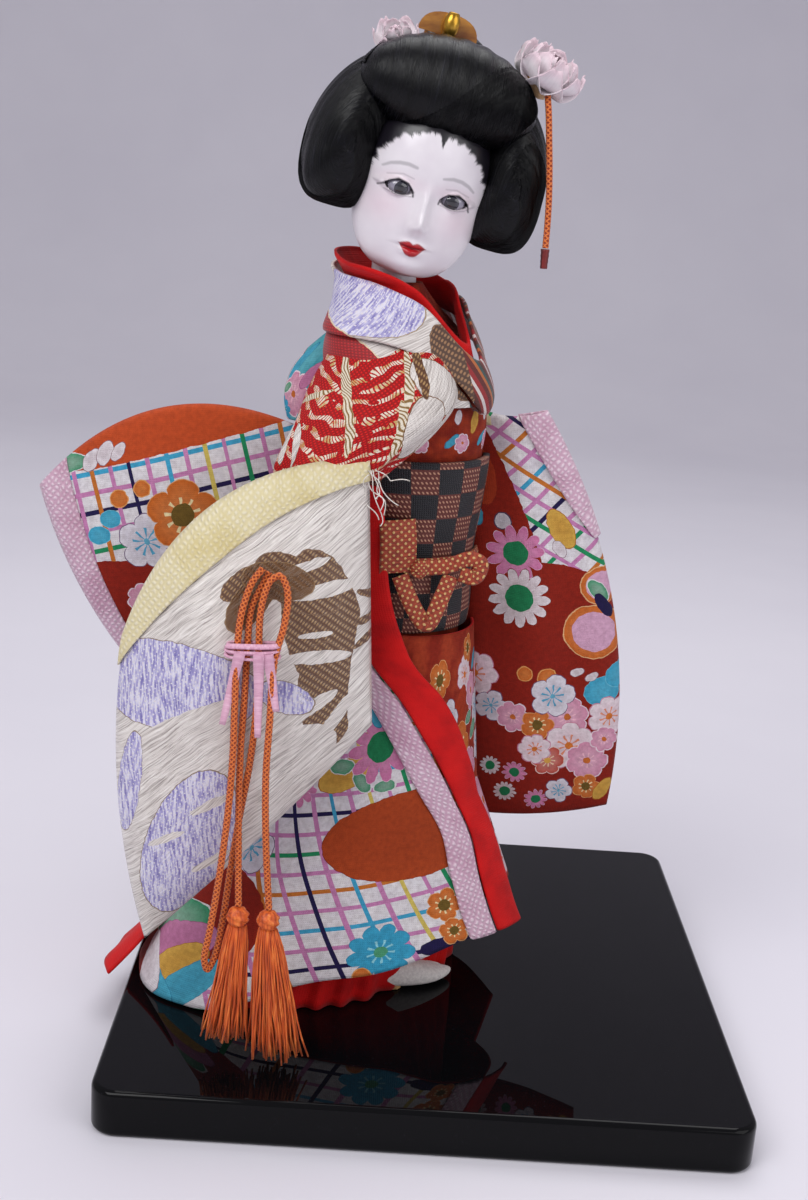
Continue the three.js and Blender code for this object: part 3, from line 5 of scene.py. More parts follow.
import bmesh
import bpy
from mathutils import Matrix, Vector, noise
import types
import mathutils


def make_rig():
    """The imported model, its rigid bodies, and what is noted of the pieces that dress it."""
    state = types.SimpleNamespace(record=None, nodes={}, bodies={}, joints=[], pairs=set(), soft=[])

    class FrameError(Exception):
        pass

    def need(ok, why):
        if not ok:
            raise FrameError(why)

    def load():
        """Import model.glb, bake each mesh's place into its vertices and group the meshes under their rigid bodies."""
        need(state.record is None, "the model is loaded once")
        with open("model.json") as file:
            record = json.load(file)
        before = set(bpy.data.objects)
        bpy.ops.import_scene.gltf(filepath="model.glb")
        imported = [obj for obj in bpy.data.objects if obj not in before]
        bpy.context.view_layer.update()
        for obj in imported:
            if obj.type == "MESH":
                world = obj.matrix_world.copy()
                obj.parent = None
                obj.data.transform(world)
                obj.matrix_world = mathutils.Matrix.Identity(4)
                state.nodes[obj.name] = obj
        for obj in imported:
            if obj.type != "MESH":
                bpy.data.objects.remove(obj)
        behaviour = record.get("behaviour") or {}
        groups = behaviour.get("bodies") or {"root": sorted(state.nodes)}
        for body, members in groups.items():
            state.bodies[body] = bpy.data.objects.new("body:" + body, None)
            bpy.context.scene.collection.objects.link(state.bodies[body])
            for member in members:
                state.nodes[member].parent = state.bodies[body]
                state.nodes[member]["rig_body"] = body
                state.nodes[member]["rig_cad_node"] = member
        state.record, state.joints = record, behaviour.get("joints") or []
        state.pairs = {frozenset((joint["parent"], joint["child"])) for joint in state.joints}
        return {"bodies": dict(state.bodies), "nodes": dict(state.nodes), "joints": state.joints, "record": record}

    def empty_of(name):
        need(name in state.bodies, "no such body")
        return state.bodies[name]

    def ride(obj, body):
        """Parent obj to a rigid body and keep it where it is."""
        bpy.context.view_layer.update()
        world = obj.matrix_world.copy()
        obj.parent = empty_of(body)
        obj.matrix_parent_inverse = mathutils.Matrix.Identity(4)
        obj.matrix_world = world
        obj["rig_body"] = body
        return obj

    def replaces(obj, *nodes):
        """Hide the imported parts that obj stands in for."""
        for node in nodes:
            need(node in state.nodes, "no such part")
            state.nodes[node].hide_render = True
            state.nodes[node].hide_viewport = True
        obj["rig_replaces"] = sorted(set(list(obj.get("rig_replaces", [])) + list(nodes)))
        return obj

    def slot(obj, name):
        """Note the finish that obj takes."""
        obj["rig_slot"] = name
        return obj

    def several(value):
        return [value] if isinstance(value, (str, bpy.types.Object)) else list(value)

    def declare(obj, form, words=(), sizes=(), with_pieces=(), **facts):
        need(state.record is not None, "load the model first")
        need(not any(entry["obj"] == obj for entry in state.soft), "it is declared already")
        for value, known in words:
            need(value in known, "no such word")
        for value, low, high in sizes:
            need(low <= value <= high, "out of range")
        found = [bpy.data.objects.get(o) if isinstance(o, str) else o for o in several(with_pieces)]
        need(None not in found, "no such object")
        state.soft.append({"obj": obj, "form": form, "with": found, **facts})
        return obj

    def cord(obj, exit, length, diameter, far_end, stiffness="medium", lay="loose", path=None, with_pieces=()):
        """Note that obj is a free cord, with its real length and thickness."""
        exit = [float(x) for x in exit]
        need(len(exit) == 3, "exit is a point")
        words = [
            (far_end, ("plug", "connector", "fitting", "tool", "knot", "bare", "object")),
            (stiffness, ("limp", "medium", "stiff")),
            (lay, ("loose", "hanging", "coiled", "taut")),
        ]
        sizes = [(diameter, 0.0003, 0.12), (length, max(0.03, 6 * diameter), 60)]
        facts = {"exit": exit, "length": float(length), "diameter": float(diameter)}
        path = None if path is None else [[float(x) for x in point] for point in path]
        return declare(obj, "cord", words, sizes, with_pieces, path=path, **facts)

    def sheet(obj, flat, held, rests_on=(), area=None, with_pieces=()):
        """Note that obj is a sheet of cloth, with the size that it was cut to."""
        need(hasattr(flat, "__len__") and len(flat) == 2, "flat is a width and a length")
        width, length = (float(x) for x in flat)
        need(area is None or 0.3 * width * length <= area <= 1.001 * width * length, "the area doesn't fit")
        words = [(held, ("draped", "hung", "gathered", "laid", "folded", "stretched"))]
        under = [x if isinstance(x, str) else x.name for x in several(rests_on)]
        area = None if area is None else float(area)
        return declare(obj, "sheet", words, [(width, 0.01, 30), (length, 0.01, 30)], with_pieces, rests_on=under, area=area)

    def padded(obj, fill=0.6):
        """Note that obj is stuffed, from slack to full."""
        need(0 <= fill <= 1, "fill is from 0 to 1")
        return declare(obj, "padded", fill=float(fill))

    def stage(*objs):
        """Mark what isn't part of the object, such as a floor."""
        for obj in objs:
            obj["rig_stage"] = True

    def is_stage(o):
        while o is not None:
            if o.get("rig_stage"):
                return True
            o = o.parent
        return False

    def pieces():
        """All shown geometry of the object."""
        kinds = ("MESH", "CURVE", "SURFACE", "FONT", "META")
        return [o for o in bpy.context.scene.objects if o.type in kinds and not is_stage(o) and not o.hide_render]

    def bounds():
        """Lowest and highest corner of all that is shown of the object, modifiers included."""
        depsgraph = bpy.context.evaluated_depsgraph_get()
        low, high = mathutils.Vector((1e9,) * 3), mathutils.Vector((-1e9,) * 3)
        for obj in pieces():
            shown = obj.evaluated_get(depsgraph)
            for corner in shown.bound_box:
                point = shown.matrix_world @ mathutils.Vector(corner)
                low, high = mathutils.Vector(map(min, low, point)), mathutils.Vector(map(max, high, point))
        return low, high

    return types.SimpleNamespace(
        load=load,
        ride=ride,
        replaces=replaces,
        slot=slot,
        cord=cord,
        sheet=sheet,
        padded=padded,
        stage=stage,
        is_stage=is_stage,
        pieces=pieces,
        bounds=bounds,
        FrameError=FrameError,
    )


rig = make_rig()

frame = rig.load()
cad_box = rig.bounds()

# Sizes below are in millimetres, and become metres when a piece is put in place
MM = 0.001
DEGREE = math.pi / 180
CLEARANCE = 0.35

# Board
BOARD_WIDE = 240
BOARD_DEEP = 240
BOARD_HIGH = 18
BOARD_CORNER = 10
BOARD_EDGE = 2.2

# Where the doll stands, and which way its body faces
STAND_X = -33
STAND_Y = -4
FRONT = 55 * DEGREE

# Heights of the body above the board
HIP = 108
SASH_BOTTOM = 150
SASH_TOP = 217
CHEST = 240
SHOULDER = 262
COLLAR = 273
NECK_BASE = 281

# Half measures of the dressed torso
HIP_HALF = (25, 27)
WAIST_HALF = (21, 25)
CHEST_HALF = (30, 32)
SHOULDER_HALF = (18, 33)
COLLAR_HALF = (13, 20)
NECK_HALF = 11
WAIST_SWAY = (14, -1)
NECK_SWAY = (2, -2)

# Sash and its cord
SASH_CLOTH = 3.6
SASH_BOW_HALF = (24, 7, 20)
CORD_SASH_THICK = 1.8
CORD_SASH_WIDE = 6
CORD_SASH_LEVEL = SASH_BOTTOM + 24
UNROLLED_SASH = 27
UNROLLED_CORD = 29

# Skirt, with its cloth layers
SKIRT_CLOTH = 1.7
FACING_CLOTH = 1.1
SKIRT_GAP = 1.3
SKIRT_WAIST = 30.5
SKIRT_HEM = (65, 50)
SKIRT_SHIFT = (-7, -8)
SKIRT_FOLDS = 9
SKIRT_FOLD_DEEP = 1.8
KNEE = 85
EDGE_FLARE = (26, 82)
TRAIN_FLARE = (15, -60)
HEM_LINE = [(-270, 33), (-210, 8), (-180, 1.2), (-40, 1.2), (-11, 15), (21, 22), (47, 32), (90, 33)]
EDGE_LINE = [(0, 66), (34, 58), (53, 55), (72, 52), (93, 40), (113, 25), (131, 7), (150, -21), (174, -38),
             (212, -44)]
HEM_LOWEST = 1.2
ROBE_BACK = -250
FACING_WIDE = 12
LINING_WIDE = 14
EDGE_TOP = 208
KIMONO_HEM = 44
FOOT_TUCK = (38, 72)
UNROLLED_RADIUS = 50
PLEATS = 26
PLEAT_DEEP = 1.6
PETTICOAT_INSET = (9, 5)
TRAIN_FOLD = (-120, -72)
TRAIN_FOLD_HIGH = 36
TRAIN_FOLD_OUT = 9

# Collars and bodice: how far they stand off the torso, then their edges
INNER_COLLAR_OUT = 3.5
ROBE_COLLAR_OUT = 5.8
ROBE_BODICE_OUT = 3.7
TORSO_CLOTH = 1.2
UNROLLED_TORSO = 28
COLLAR_RISE = 4
COLLAR_SLOPE = 7
COLLAR_DIP = (18, 20)
COLLAR_STAND = 7
COLLAR_LIFT = (3.2, 68, 34)
COLLAR_LEAN = 4.8
INNER_COLLAR_WIDE = 14
ROBE_COLLAR_WIDE = 20
ROBE_COLLAR_DROP = 5

# Sleeves: corners from the elbow to the top of the opening, down it, and back; each side's bow; thickness
ROBE_SLEEVE = dict(corners=[(-2, -50, 219), (-85, -72, 154), (-74, -76, 40), (5, -61, 124)],
                   bow=(19, 6, -2, 0), thick=22, forward=8, folds=2, fold_deep=1.6)
RIGHT_SLEEVE = dict(corners=[(-26, -17, 224), (-125, -24, 199), (-89, -28, 132), (-32, -16, 150)],
                    bow=(19, 4, 0, 0), thick=13, forward=2, folds=2, fold_deep=1)
LEFT_SLEEVE = dict(corners=[(31, 12, 238), (64, 0, 235), (105, 5, 72), (46, 14, 62)],
                   bow=(5, -15, 3, 4), thick=26, forward=0, folds=2, fold_deep=1.6)
SLEEVE_EDGE = 0.9
SLEEVE_FACING = 11
FRAYED_ENDS = 8
FRAYED_THICK = 0.42
ROBE_FACING = [(0, 7), (0.25, 12), (0.5, 16), (0.8, 15), (1, 9)]
UPPER_SLEEVE = [(266, 1.5, -19, 17, 9), (255, 2, -24, 23, 12), (242, 1, -31, 27.5, 14),
                (231, -4, -38, 26, 14), (216, -15, -43, 22, 11), (209, -19, -44, 20, 8)]
RIGHT_SHOULDER = [(264, -6, -13, 14, 8), (252, -11, -15, 20, 8), (240, -14, -17, 22, 8),
                  (226, -17, -18, 19, 6)]

# Head
HEAD_PLACE = (9.5, -10, 314)
HEAD_TURN = (6, 12, 6)
FACE_DEEP = 24
CROWN = 36
CHIN = 30
NECK_WIDE = 18
MAP_APART = 200
EYE_RADIUS = 4.4
EYE_SPREAD = 10
EYE_HIGH = 1.5

# Tasselled cord
CORD_WIDE = 2.6
CORD_STEP = 0.35
CORD_STITCH = (0.295, 0.245)
CORD_LAY = [(-122, -17.6), (-62, -17.2), (-47, -16.6), (-30, -14), (-16, -9.8), (-8, -6.6), (2, -3.6)]
SHORT_ROUTE = [(-1.4, 0.6, -1), (-3.7, 1, -6), (-6.8, 1.4, -14), (-7.2, 1.6, -28), (-7.2, 1.7, -44),
               (-7.7, 1.7, -62), (-7.5, 1.6, -84), (-6.8, 1.4, -104), (-6, 0.8, -122)]
LONG_ROUTE = [(-3.5, -1.6, 0.6), (-7.2, -1.5, -5), (-10, -1.2, -16), (-10.4, -1.2, -30), (-10.2, -1.2, -46),
              (-10.1, -1.2, -66), (-11.1, -1.2, -88), (-13.3, -1.2, -112), (-15.8, -1, -132),
              (-17.4, -0.6, -143), (-16.2, 0.6, -148), (-13.8, 1.8, -143), (-11.7, 3, -130),
              (-9.9, 4.2, -112), (-7.4, 4.6, -90), (-4.4, 3.6, -68), (-2.8, 1.6, -46), (-3.1, 0.6, -28),
              (-3.3, -0.8, -14), (-1, -2, -4), (2.7, -2, -1.6), (5.6, -1.8, -7), (5.3, -1.4, -17),
              (2.6, -1.2, -30), (2.2, -1.2, -50), (1.8, -1.2, -72), (2.9, -1, -96), (5.1, -0.6, -122)]
TIE = (18, 7.4)
TIE_DROP = 27
TIE_STRIPS = ((-4, 26, -5), (2.5, 30, 1), (5.5, 20, 4))

# Tassels: length, radius and lean, then their heads and threads
LEFT_TASSEL = (54, 7.4, -3)
RIGHT_TASSEL = (59, 9.8, 5)
TASSEL_HEAD = 8
TASSEL_TOP = 3.2
TASSEL_THREADS = 150
TASSEL_THREAD = 0.7

# Cord that dangles from the right flower
DANGLE = [(0, 0, 0), (0.8, -1.4, -6), (1.6, -2.2, -14), (2.6, -2.6, -24), (3.4, -2.4, -34), (3.8, -2, -44),
          (3.8, -2, -53)]
DANGLE_WIDE = 3
DANGLE_TIP = 7

# Lines of the head as half widths and depths by height, then the eyes' openings and the hairline
SKULL_HALF = [(-30, 2), (-28.4, 10), (-24, 16.6), (-15, 21.8), (-3, 23.5), (12.6, 23.5), (25.2, 18.5),
              (33.1, 9), (36, 2)]
SKULL_DEEP = [(-30, 2), (-28, 8), (-23.4, 14), (-15, 19), (-3, 23), (12.6, 24), (25.2, 20), (33.1, 10),
              (36, 2)]
EYE_HALF = (5.4, 2.6)
EYE_LINE = 1.0
HAIRLINE = 22

# Hills and hollows of the face: how far out, place and size, the same on both sides of the middle
FACE_FORMS = [
    # Cheeks and chin
    (0.9, (11.5, -11), (7, 8)), (2.4, (0, -25.5), (6, 4.5)),
    # Tip of the nose, its wings and its bridge
    (4.6, (0, -9.4), (2.4, 3.6)), (1.4, (2.2, -10.8), (1.3, 1.5)), (2.7, (0, -2.5), (2.2, 5.5)),
    # Upper and lower lip, their parting and the groove above
    (1.7, (0, -16.7), (4.6, 1.3)), (2.1, (0, -19.6), (3.6, 1.5)), (-1.1, (0, -18), (4.8, 0.5)),
    (-0.5, (0, -13.9), (1.1, 1.4)),
    # Hollows round the eyes
    (-0.9, (EYE_SPREAD, EYE_HIGH + 1), (7.5, 4.5)),
]

# Face paint in the head's frame: brush lines with half width and strength, among them painted shade in the lid
# creases, then the lips' heights outwards
BRUSH_LINES = [
    ([(-17.4, -0.2), (-15.6, 1.2), (-14, 2.6), (-11.2, 3.9), (-7.4, 3.2), (-5, 0.8), (-4.7, -0.6)], 0.42, 1),
    ([(17, -1), (15.6, 1), (14, 2.6), (11.2, 3.9), (7.4, 3.2), (5, 0.8), (4.7, -0.6)], 0.42, 1),
    ([(-15, -0.8), (-10, -1.5), (-5.4, -0.8)], 0.2, 0.5),
    ([(15, -0.8), (10, -1.5), (5.4, -0.8)], 0.2, 0.5),
    # Lid creases: faint lines of painted shade where the skin folds above each eye
    ([(-15.3, 4.4), (-10, 6), (-6, 5.4)], 0.2, 0.3),
    ([(15.3, 4.2), (10, 5.6), (6, 5)], 0.2, 0.3),
    ([(-17.4, 6.6), (-15, 8.3), (-12, 9.3), (-9, 9.7), (-6, 9.3)], 0.62, 0.36),
    ([(16.6, 6.2), (14, 7.8), (11, 8.8), (7.6, 9), (4, 8.2)], 0.62, 0.36),
]
LIP_TOP = [(0, -16.6), (1.7, -15.9), (3.6, -16.5), (4.9, -17.2)]
LIP_PARTING = [(0, -18.1), (2, -17.8), (4.9, -17.2)]
LIP_BOTTOM = [(0, -21), (1.8, -20.5), (3.3, -19), (4.9, -17.2)]

# Hairpins: where each leaves the hair, and its way, in the head's frame
RIGHT_PIN = ((29, 2, 46), (0.78, -0.25, 0.57))
LEFT_PIN = ((-22, 6, 47), (-0.5, 0.1, 0.86))
CAP_HIGH = 3.6
CAP_RADIUS = 5.5
COMB_PLACE = (-5, 8, 54)
BEAD_LONG = 9

# Hair strands, and the share and the angle that spread things evenly
HAIR_STRAND = 0.26
GOLDEN_SHARE = 0.618034
GOLDEN_ANGLE = 2.39996

# Flowers: cups of petals by count, size as a share of the flower's, lean in degrees, turn and height
RIGHT_CUPS = [(8, 1.12, 88, 0, 0), (7, 0.96, 70, 0.5, 0.6), (5, 0.74, 50, 0.2, 1.2), (4, 0.5, 24, 0.6, 1.6)]
LEFT_CUPS = [(6, 1.05, 92, 0, 0), (5, 0.84, 66, 0.5, 0.4), (4, 0.6, 36, 0.1, 0.8)]
STAMENS = 9
STAMEN_THICK = 0.28

# Feet: places, half width and half length, heights at heel and toe, and the way they point
RIGHT_FOOT = (28, -24)
LEFT_FOOT = (2, 8)
SOCK_HALF = (7, 18)
SOCK_HIGH = (13, 7.2)
SOCK_TURN = 117

# Camera: turns in degrees, place in millimetres and focal length on a frame 24 mm high
CAMERA_TURN = (14.9, -0.89, 3.99)
CAMERA_PLACE = (-27.8, -602.1, 333.0)
CAMERA_LENS = 1547 / 1200 * 24

# Floor and backdrop
FLOOR_HALF = 3000
FLOOR_BACK = 1500
SWEEP_RADIUS = 900
BACKDROP_HIGH = 3500

# Lamps: name, place in metres, size in metres, power in watts; then the strength of the pale surroundings
LAMPS = [
    ("key", (-0.7, -0.9, 1.3), (0.9, 0.9), 13),
    ("fill", (1.0, -0.8, 0.8), (1.1, 1.1), 6),
    ("top", (0.1, 0.5, 1.5), (1.0, 0.8), 8),
]
SURROUND_LIGHT = 0.55


# A value read off a smooth line through stations of (place, value)
def along(stations, at):
    last = len(stations) - 1
    if at <= stations[0][0]:
        return stations[0][1]
    if at >= stations[last][0]:
        return stations[last][1]
    i = next(k for k in range(last) if at <= stations[k + 1][0])

    def slope(a, b):
        return (stations[b][1] - stations[a][1]) / (stations[b][0] - stations[a][0])

    (start, low), (end, high) = stations[i], stations[i + 1]
    span = end - start
    t = (at - start) / span
    return (low * (1 + 2 * t) * (1 - t) ** 2 + slope(max(i - 1, 0), i + 1) * span * t * (1 - t) ** 2
            + high * t * t * (3 - 2 * t) + slope(i, min(i + 2, last)) * span * t * t * (t - 1))


def mix(a, b, t):
    return a + (b - a) * t


def clamp(value, low=0.0, high=1.0):
    return min(max(value, low), high)


def smooth(value):
    t = clamp(value)
    return t * t * (3 - 2 * t)


# A point round an upright middle line; directions run from the viewer's side, -Y, towards +X
def around(middle, angle, radius, height):
    return Vector((middle[0] + radius * math.sin(angle), middle[1] - radius * math.cos(angle), height))


# Middle line and radius of the dressed torso
def torso_middle(height):
    aside = [(0, 0), (SASH_BOTTOM, WAIST_SWAY[0]), (SASH_TOP, WAIST_SWAY[0] - 1), (NECK_BASE, NECK_SWAY[0])]
    forward = [(0, 0), (SASH_BOTTOM, WAIST_SWAY[1]), (NECK_BASE, NECK_SWAY[1])]
    return along(aside, height), along(forward, height)


def torso_radius(angle, height):
    level = clamp(height, HIP, NECK_BASE)
    middle = (SASH_BOTTOM + SASH_TOP) / 2
    halves = [along([(HIP, HIP_HALF[i]), (middle, WAIST_HALF[i]), (CHEST, CHEST_HALF[i]),
                     (SHOULDER, SHOULDER_HALF[i]), (COLLAR, COLLAR_HALF[i]), (NECK_BASE, NECK_HALF)], level)
              for i in (0, 1)]
    turn = angle - FRONT
    return halves[0] * halves[1] / math.hypot(halves[1] * math.cos(turn), halves[0] * math.sin(turn))


def torso_point(angle, height, lift):
    return around(torso_middle(height), angle, torso_radius(angle, height) + lift, height)


# A swell that is fullest in one direction
def bulge(angle, at):
    return max(math.cos(angle - at * DEGREE), 0) ** 3


# The skirt's outer side, with an inward depth
def skirt_point(angle, height, depth):
    fall = max(1 - height / SASH_BOTTOM, 0)
    below = max(1 - height / KNEE, 0)
    flare = below * sum(out * bulge(angle, way) for out, way in (EDGE_FLARE, TRAIN_FLARE))
    wide = mix(SKIRT_WAIST, SKIRT_HEM[0], fall) + flare - depth
    deep = mix(SKIRT_WAIST, SKIRT_HEM[1], fall) + flare - depth
    rise = clamp(height / SASH_BOTTOM)
    x = mix(SKIRT_SHIFT[0], WAIST_SWAY[0], rise)
    y = mix(SKIRT_SHIFT[1], WAIST_SWAY[1], rise)
    return Vector((x + wide * math.sin(angle), y - deep * math.cos(angle), height))


def hem_height(angle):
    return max(along(HEM_LINE, angle / DEGREE), HEM_LOWEST)


def robe_edge(height):
    return along(EDGE_LINE, height) * DEGREE


# A point off the skirt, or off the sash and its cord above the waist
def panel_point(angle, height, lift):
    if height <= SASH_BOTTOM:
        return skirt_point(angle, height, -lift)
    over_cord = torso_radius(angle, height) + SASH_CLOTH + CORD_SASH_THICK + 3 * CLEARANCE
    return around(torso_middle(height), angle, max(SKIRT_WAIST, over_cord) + lift, height)


# A hanging cloth bag between four corners; side is 1 on its front and -1 on its back
def bag(shape):
    a, b, c, d = [Vector(corner) for corner in shape["corners"]]
    bow = shape["bow"]

    def bent(start, end, t, out):
        way = (end - start).normalized()
        return start.lerp(end, t) + Vector((way.z, 0, -way.x)) * (out * 4 * t * (1 - t))

    def surface(u, v, side, lift=0.0):
        point = (bent(a, b, u, bow[0]) * (1 - v) + bent(d, c, u, bow[2]) * v
                 + bent(a, d, v, bow[3]) * (1 - u) + bent(b, c, v, bow[1]) * u
                 - a * ((1 - u) * (1 - v)) - b * (u * (1 - v)) - d * ((1 - u) * v) - c * (u * v))
        swell = (max(u * (1 - u), 0) * max(v * (1 - v), 0) * 16) ** 0.6
        half = SLEEVE_EDGE + (shape["thick"] / 2 - SLEEVE_EDGE) * swell
        fold_reverse_and_shade = shape["fold_deep"] * swell * math.sin(2 * math.pi * shape["folds"] * (u + 0.25 * v))
        point.y -= side * (half + lift) + shape["forward"] * swell + fold_reverse_and_shade
        return point

    return surface


robe_sleeve_at = bag(ROBE_SLEEVE)
right_sleeve_at = bag(RIGHT_SLEEVE)
left_sleeve_at = bag(LEFT_SLEEVE)


# A direction measured from the way the body faces, up to half a turn to either side
def from_front(angle):
    return math.atan2(math.sin(angle - FRONT), math.cos(angle - FRONT))


# Upper edge of a collar, high at the nape and dipping to a V in front
def collar_top(angle):
    turn = from_front(angle)
    dip = math.exp(-((turn / (COLLAR_DIP[1] * DEGREE)) ** 2))
    top = NECK_BASE + COLLAR_RISE - COLLAR_SLOPE * math.cos(turn) - COLLAR_DIP[0] * dip
    return top + COLLAR_LIFT[0] * near_cheek(angle)


# How near a direction lies to the cheek, where the collar stands higher and leans out for the head to turn
def near_cheek(angle):
    away = from_front(angle) + COLLAR_LIFT[1] * DEGREE
    return math.exp(-(away / (COLLAR_LIFT[2] * DEGREE)) ** 2)


# Soft unevenness of cloth, in millimetres, at a point
def crumple(point, size, depth):
    return depth * noise.noise(point / size)


# The head's own frame, in the doll's frame
turn_about = [Matrix.Rotation(angle * DEGREE, 4, axis) for angle, axis in zip(HEAD_TURN, "XYZ")]
head_pose = Matrix.Translation(HEAD_PLACE) @ turn_about[2] @ turn_about[0] @ turn_about[1]

# The doll's frame, in metres in the world
doll_pose = Matrix.Translation(Vector((STAND_X, STAND_Y, BOARD_HIGH)) * MM) @ Matrix.Scale(MM, 4)
head_world = doll_pose @ head_pose


# Building meshes

# A grid added to a mesh and laid on a surface; across runs right and up runs up, seen from outside
# Its UV map "Cloth" holds what the chart gives, on most cloths millimetres
def lay_grid(bm, columns, rows, at, chart):
    cloth = bm.loops.layers.uv.get("Cloth") or bm.loops.layers.uv.new("Cloth")
    made = bmesh.ops.create_grid(bm, x_segments=columns, y_segments=rows, size=0.5)["verts"]
    shares = {vert: (vert.co.x + 0.5, vert.co.y + 0.5) for vert in made}
    for vert, share in shares.items():
        vert.co = at(*share)
    for face in {face for vert in made for face in vert.link_faces}:
        for loop in face.loops:
            loop[cloth].uv = chart(*shares[loop.vert], loop.vert.co)


def grid(columns, rows, at, chart, closed=False):
    bm = bmesh.new()
    lay_grid(bm, columns, rows, at, chart)
    if closed:
        bmesh.ops.remove_doubles(bm, verts=bm.verts, dist=0.01)
        bmesh.ops.recalc_face_normals(bm, faces=bm.faces)
    return bm


# A sphere with its poles on one axis, reshaped by a function of its unit point
def ball(across, up, shape, chart, axis="Z"):
    bm = bmesh.new()
    cloth = bm.loops.layers.uv.new("Cloth")
    bmesh.ops.create_uvsphere(bm, u_segments=across, v_segments=up, radius=1)
    if axis != "Z":
        turn = Matrix.Rotation(math.pi / 2, 4, "Y" if axis == "X" else "X")
        bmesh.ops.transform(bm, matrix=turn, verts=bm.verts)
    units = {vert: vert.co.copy() for vert in bm.verts}
    for vert, unit in units.items():
        vert.co = shape(unit)
    for face in bm.faces:
        middle = sum((units[loop.vert] for loop in face.loops), Vector()) / len(face.loops)
        for loop in face.loops:
            loop[cloth].uv = chart(units[loop.vert], middle)
    bmesh.ops.recalc_face_normals(bm, faces=bm.faces)
    return bm


# A tube along a line of points, added to a mesh; its radius is a number, or a function of the place on it
def lay_tube(bm, points, sides, radius):
    last = len(points) - 1
    length = [0.0]
    for a, b in zip(points, points[1:]):
        length.append(length[-1] + (b - a).length)
    side_way = Vector((0, 1, 0))
    rings = []
    for i, point in enumerate(points):
        way = (points[min(i + 1, last)] - points[max(i - 1, 0)]).normalized()
        side_way = (side_way - way * side_way.dot(way)).normalized()
        rings.append((point, side_way.copy(), way.cross(side_way)))

    def at(s, t):
        i = round(t * last)
        point, one, other = rings[i]
        angle = 2 * math.pi * round(s * sides) / sides
        reach = radius(angle, length[i], length[-1]) if callable(radius) else radius
        return point + (one * math.cos(angle) + other * math.sin(angle)) * reach

    lay_grid(bm, sides, last, at, lambda s, t, co: (s, length[round(t * last)]))


# Tubes made whole: their sides joined and their ends closed
def close_tubes(bm, sides):
    bmesh.ops.remove_doubles(bm, verts=bm.verts, dist=0.0005)
    bmesh.ops.holes_fill(bm, edges=[edge for edge in bm.edges if edge.is_boundary], sides=sides)
    bmesh.ops.recalc_face_normals(bm, faces=bm.faces)


# A mesh turned about the upright and moved
def settle(bm, angle, place):
    bmesh.ops.rotate(bm, matrix=Matrix.Rotation(angle, 3, "Z"), verts=bm.verts)
    bmesh.ops.translate(bm, vec=place, verts=bm.verts)


def tube(points, sides, radius):
    bm = bmesh.new()
    lay_tube(bm, points, sides, radius)
    close_tubes(bm, sides)
    return bm


# Even steps along a smooth line through points
def smooth_path(points, step):
    points = [Vector(point) for point in points]
    times = [0.0]
    for a, b in zip(points, points[1:]):
        times.append(times[-1] + max((b - a).length, 1e-6))
    lines = [[(time, point[axis]) for time, point in zip(times, points)] for axis in range(3)]
    count = max(round(times[-1] / step), 2)
    return [Vector([along(line, times[-1] * i / count) for line in lines]) for i in range(count + 1)]


# A finished piece from a mesh in millimetres, riding on its body
def piece(name, bm, materials, slot, body="base", replaced=(), pose=doll_pose):
    bmesh.ops.transform(bm, matrix=pose, verts=bm.verts)
    mesh = bpy.data.meshes.new(name)
    bm.to_mesh(mesh)
    bm.free()
    mesh.polygons.foreach_set("use_smooth", [True] * len(mesh.polygons))
    for material in materials:
        mesh.materials.append(material)
    made = bpy.data.objects.new(name, mesh)
    bpy.context.scene.collection.objects.link(made)
    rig.ride(made, body)
    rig.slot(made, slot)
    if replaced:
        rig.replaces(made, *replaced)
    return made


# Thickness of a cloth, inwards from its outer side
def thicken(made, thickness, lining=0):
    wall = made.modifiers.new("cloth", "SOLIDIFY")
    wall.thickness = thickness * MM
    wall.offset = -1
    wall.material_offset = lining
    wall.material_offset_rim = lining
    return made


# Roundness from finer faces
def soften(made, levels):
    finer = made.modifiers.new("round", "SUBSURF")
    finer.levels = levels
    finer.render_levels = levels
    return made


# Materials

# A colour as written, turned to linear light
def colour(text):
    parts = [int(text[i:i + 2], 16) / 255 for i in (1, 3, 5)]
    return [c / 12.92 if c <= 0.04045 else ((c + 0.055) / 1.055) ** 2.4 for c in parts] + [1]


# Inputs of a node, given in order as values, sRGB hex colours, or nodes and sockets to link
def link_all(tree, node, values):
    for socket, value in zip(node.inputs, values):
        if isinstance(value, bpy.types.Node):
            tree.links.new(value.outputs[0], socket)
        elif isinstance(value, bpy.types.NodeSocket):
            tree.links.new(value, socket)
        elif isinstance(value, str):
            socket.default_value = colour(value)
        elif value is not None:
            socket.default_value = value


# A node with its settings and links, its kind followed by its operation where it has one
# The stops of a ramp are rows of place, colour and, if see-through, opacity
def add_node(tree, kind, *values, stops=(), blend="LINEAR", **settings):
    kind, *operation = kind.split()
    node = tree.nodes.new(kind if kind.startswith("NodeGroup") else "ShaderNode" + kind)
    if operation:
        node.operation = operation[0]
    for name, value in settings.items():
        setattr(node, name, value)
    for i, (place, shade, *opacity) in enumerate(stops):
        node.color_ramp.interpolation = blend
        stop = node.color_ramp.elements[i] if i < 2 else node.color_ramp.elements.new(place)
        stop.position = place
        stop.color = colour(shade)
        stop.alpha = opacity[0] if opacity else 1
    link_all(tree, node, values)
    return node


# A new material, and add_node for its own nodes
def new_material(name):
    material = bpy.data.materials.new(name)
    material.use_nodes = True
    return material, partial(add_node, material.node_tree)


# The same with the millimetre map of the cloth that the material is laid on
def begin(name):
    material, add = new_material(name)
    return material, add, add("UVMap", uv_map="Cloth")


# The same with the place on a solid piece, in metres
def begin_solid(name):
    material, add = new_material(name)
    return material, add, add("TexCoord").outputs["Object"]


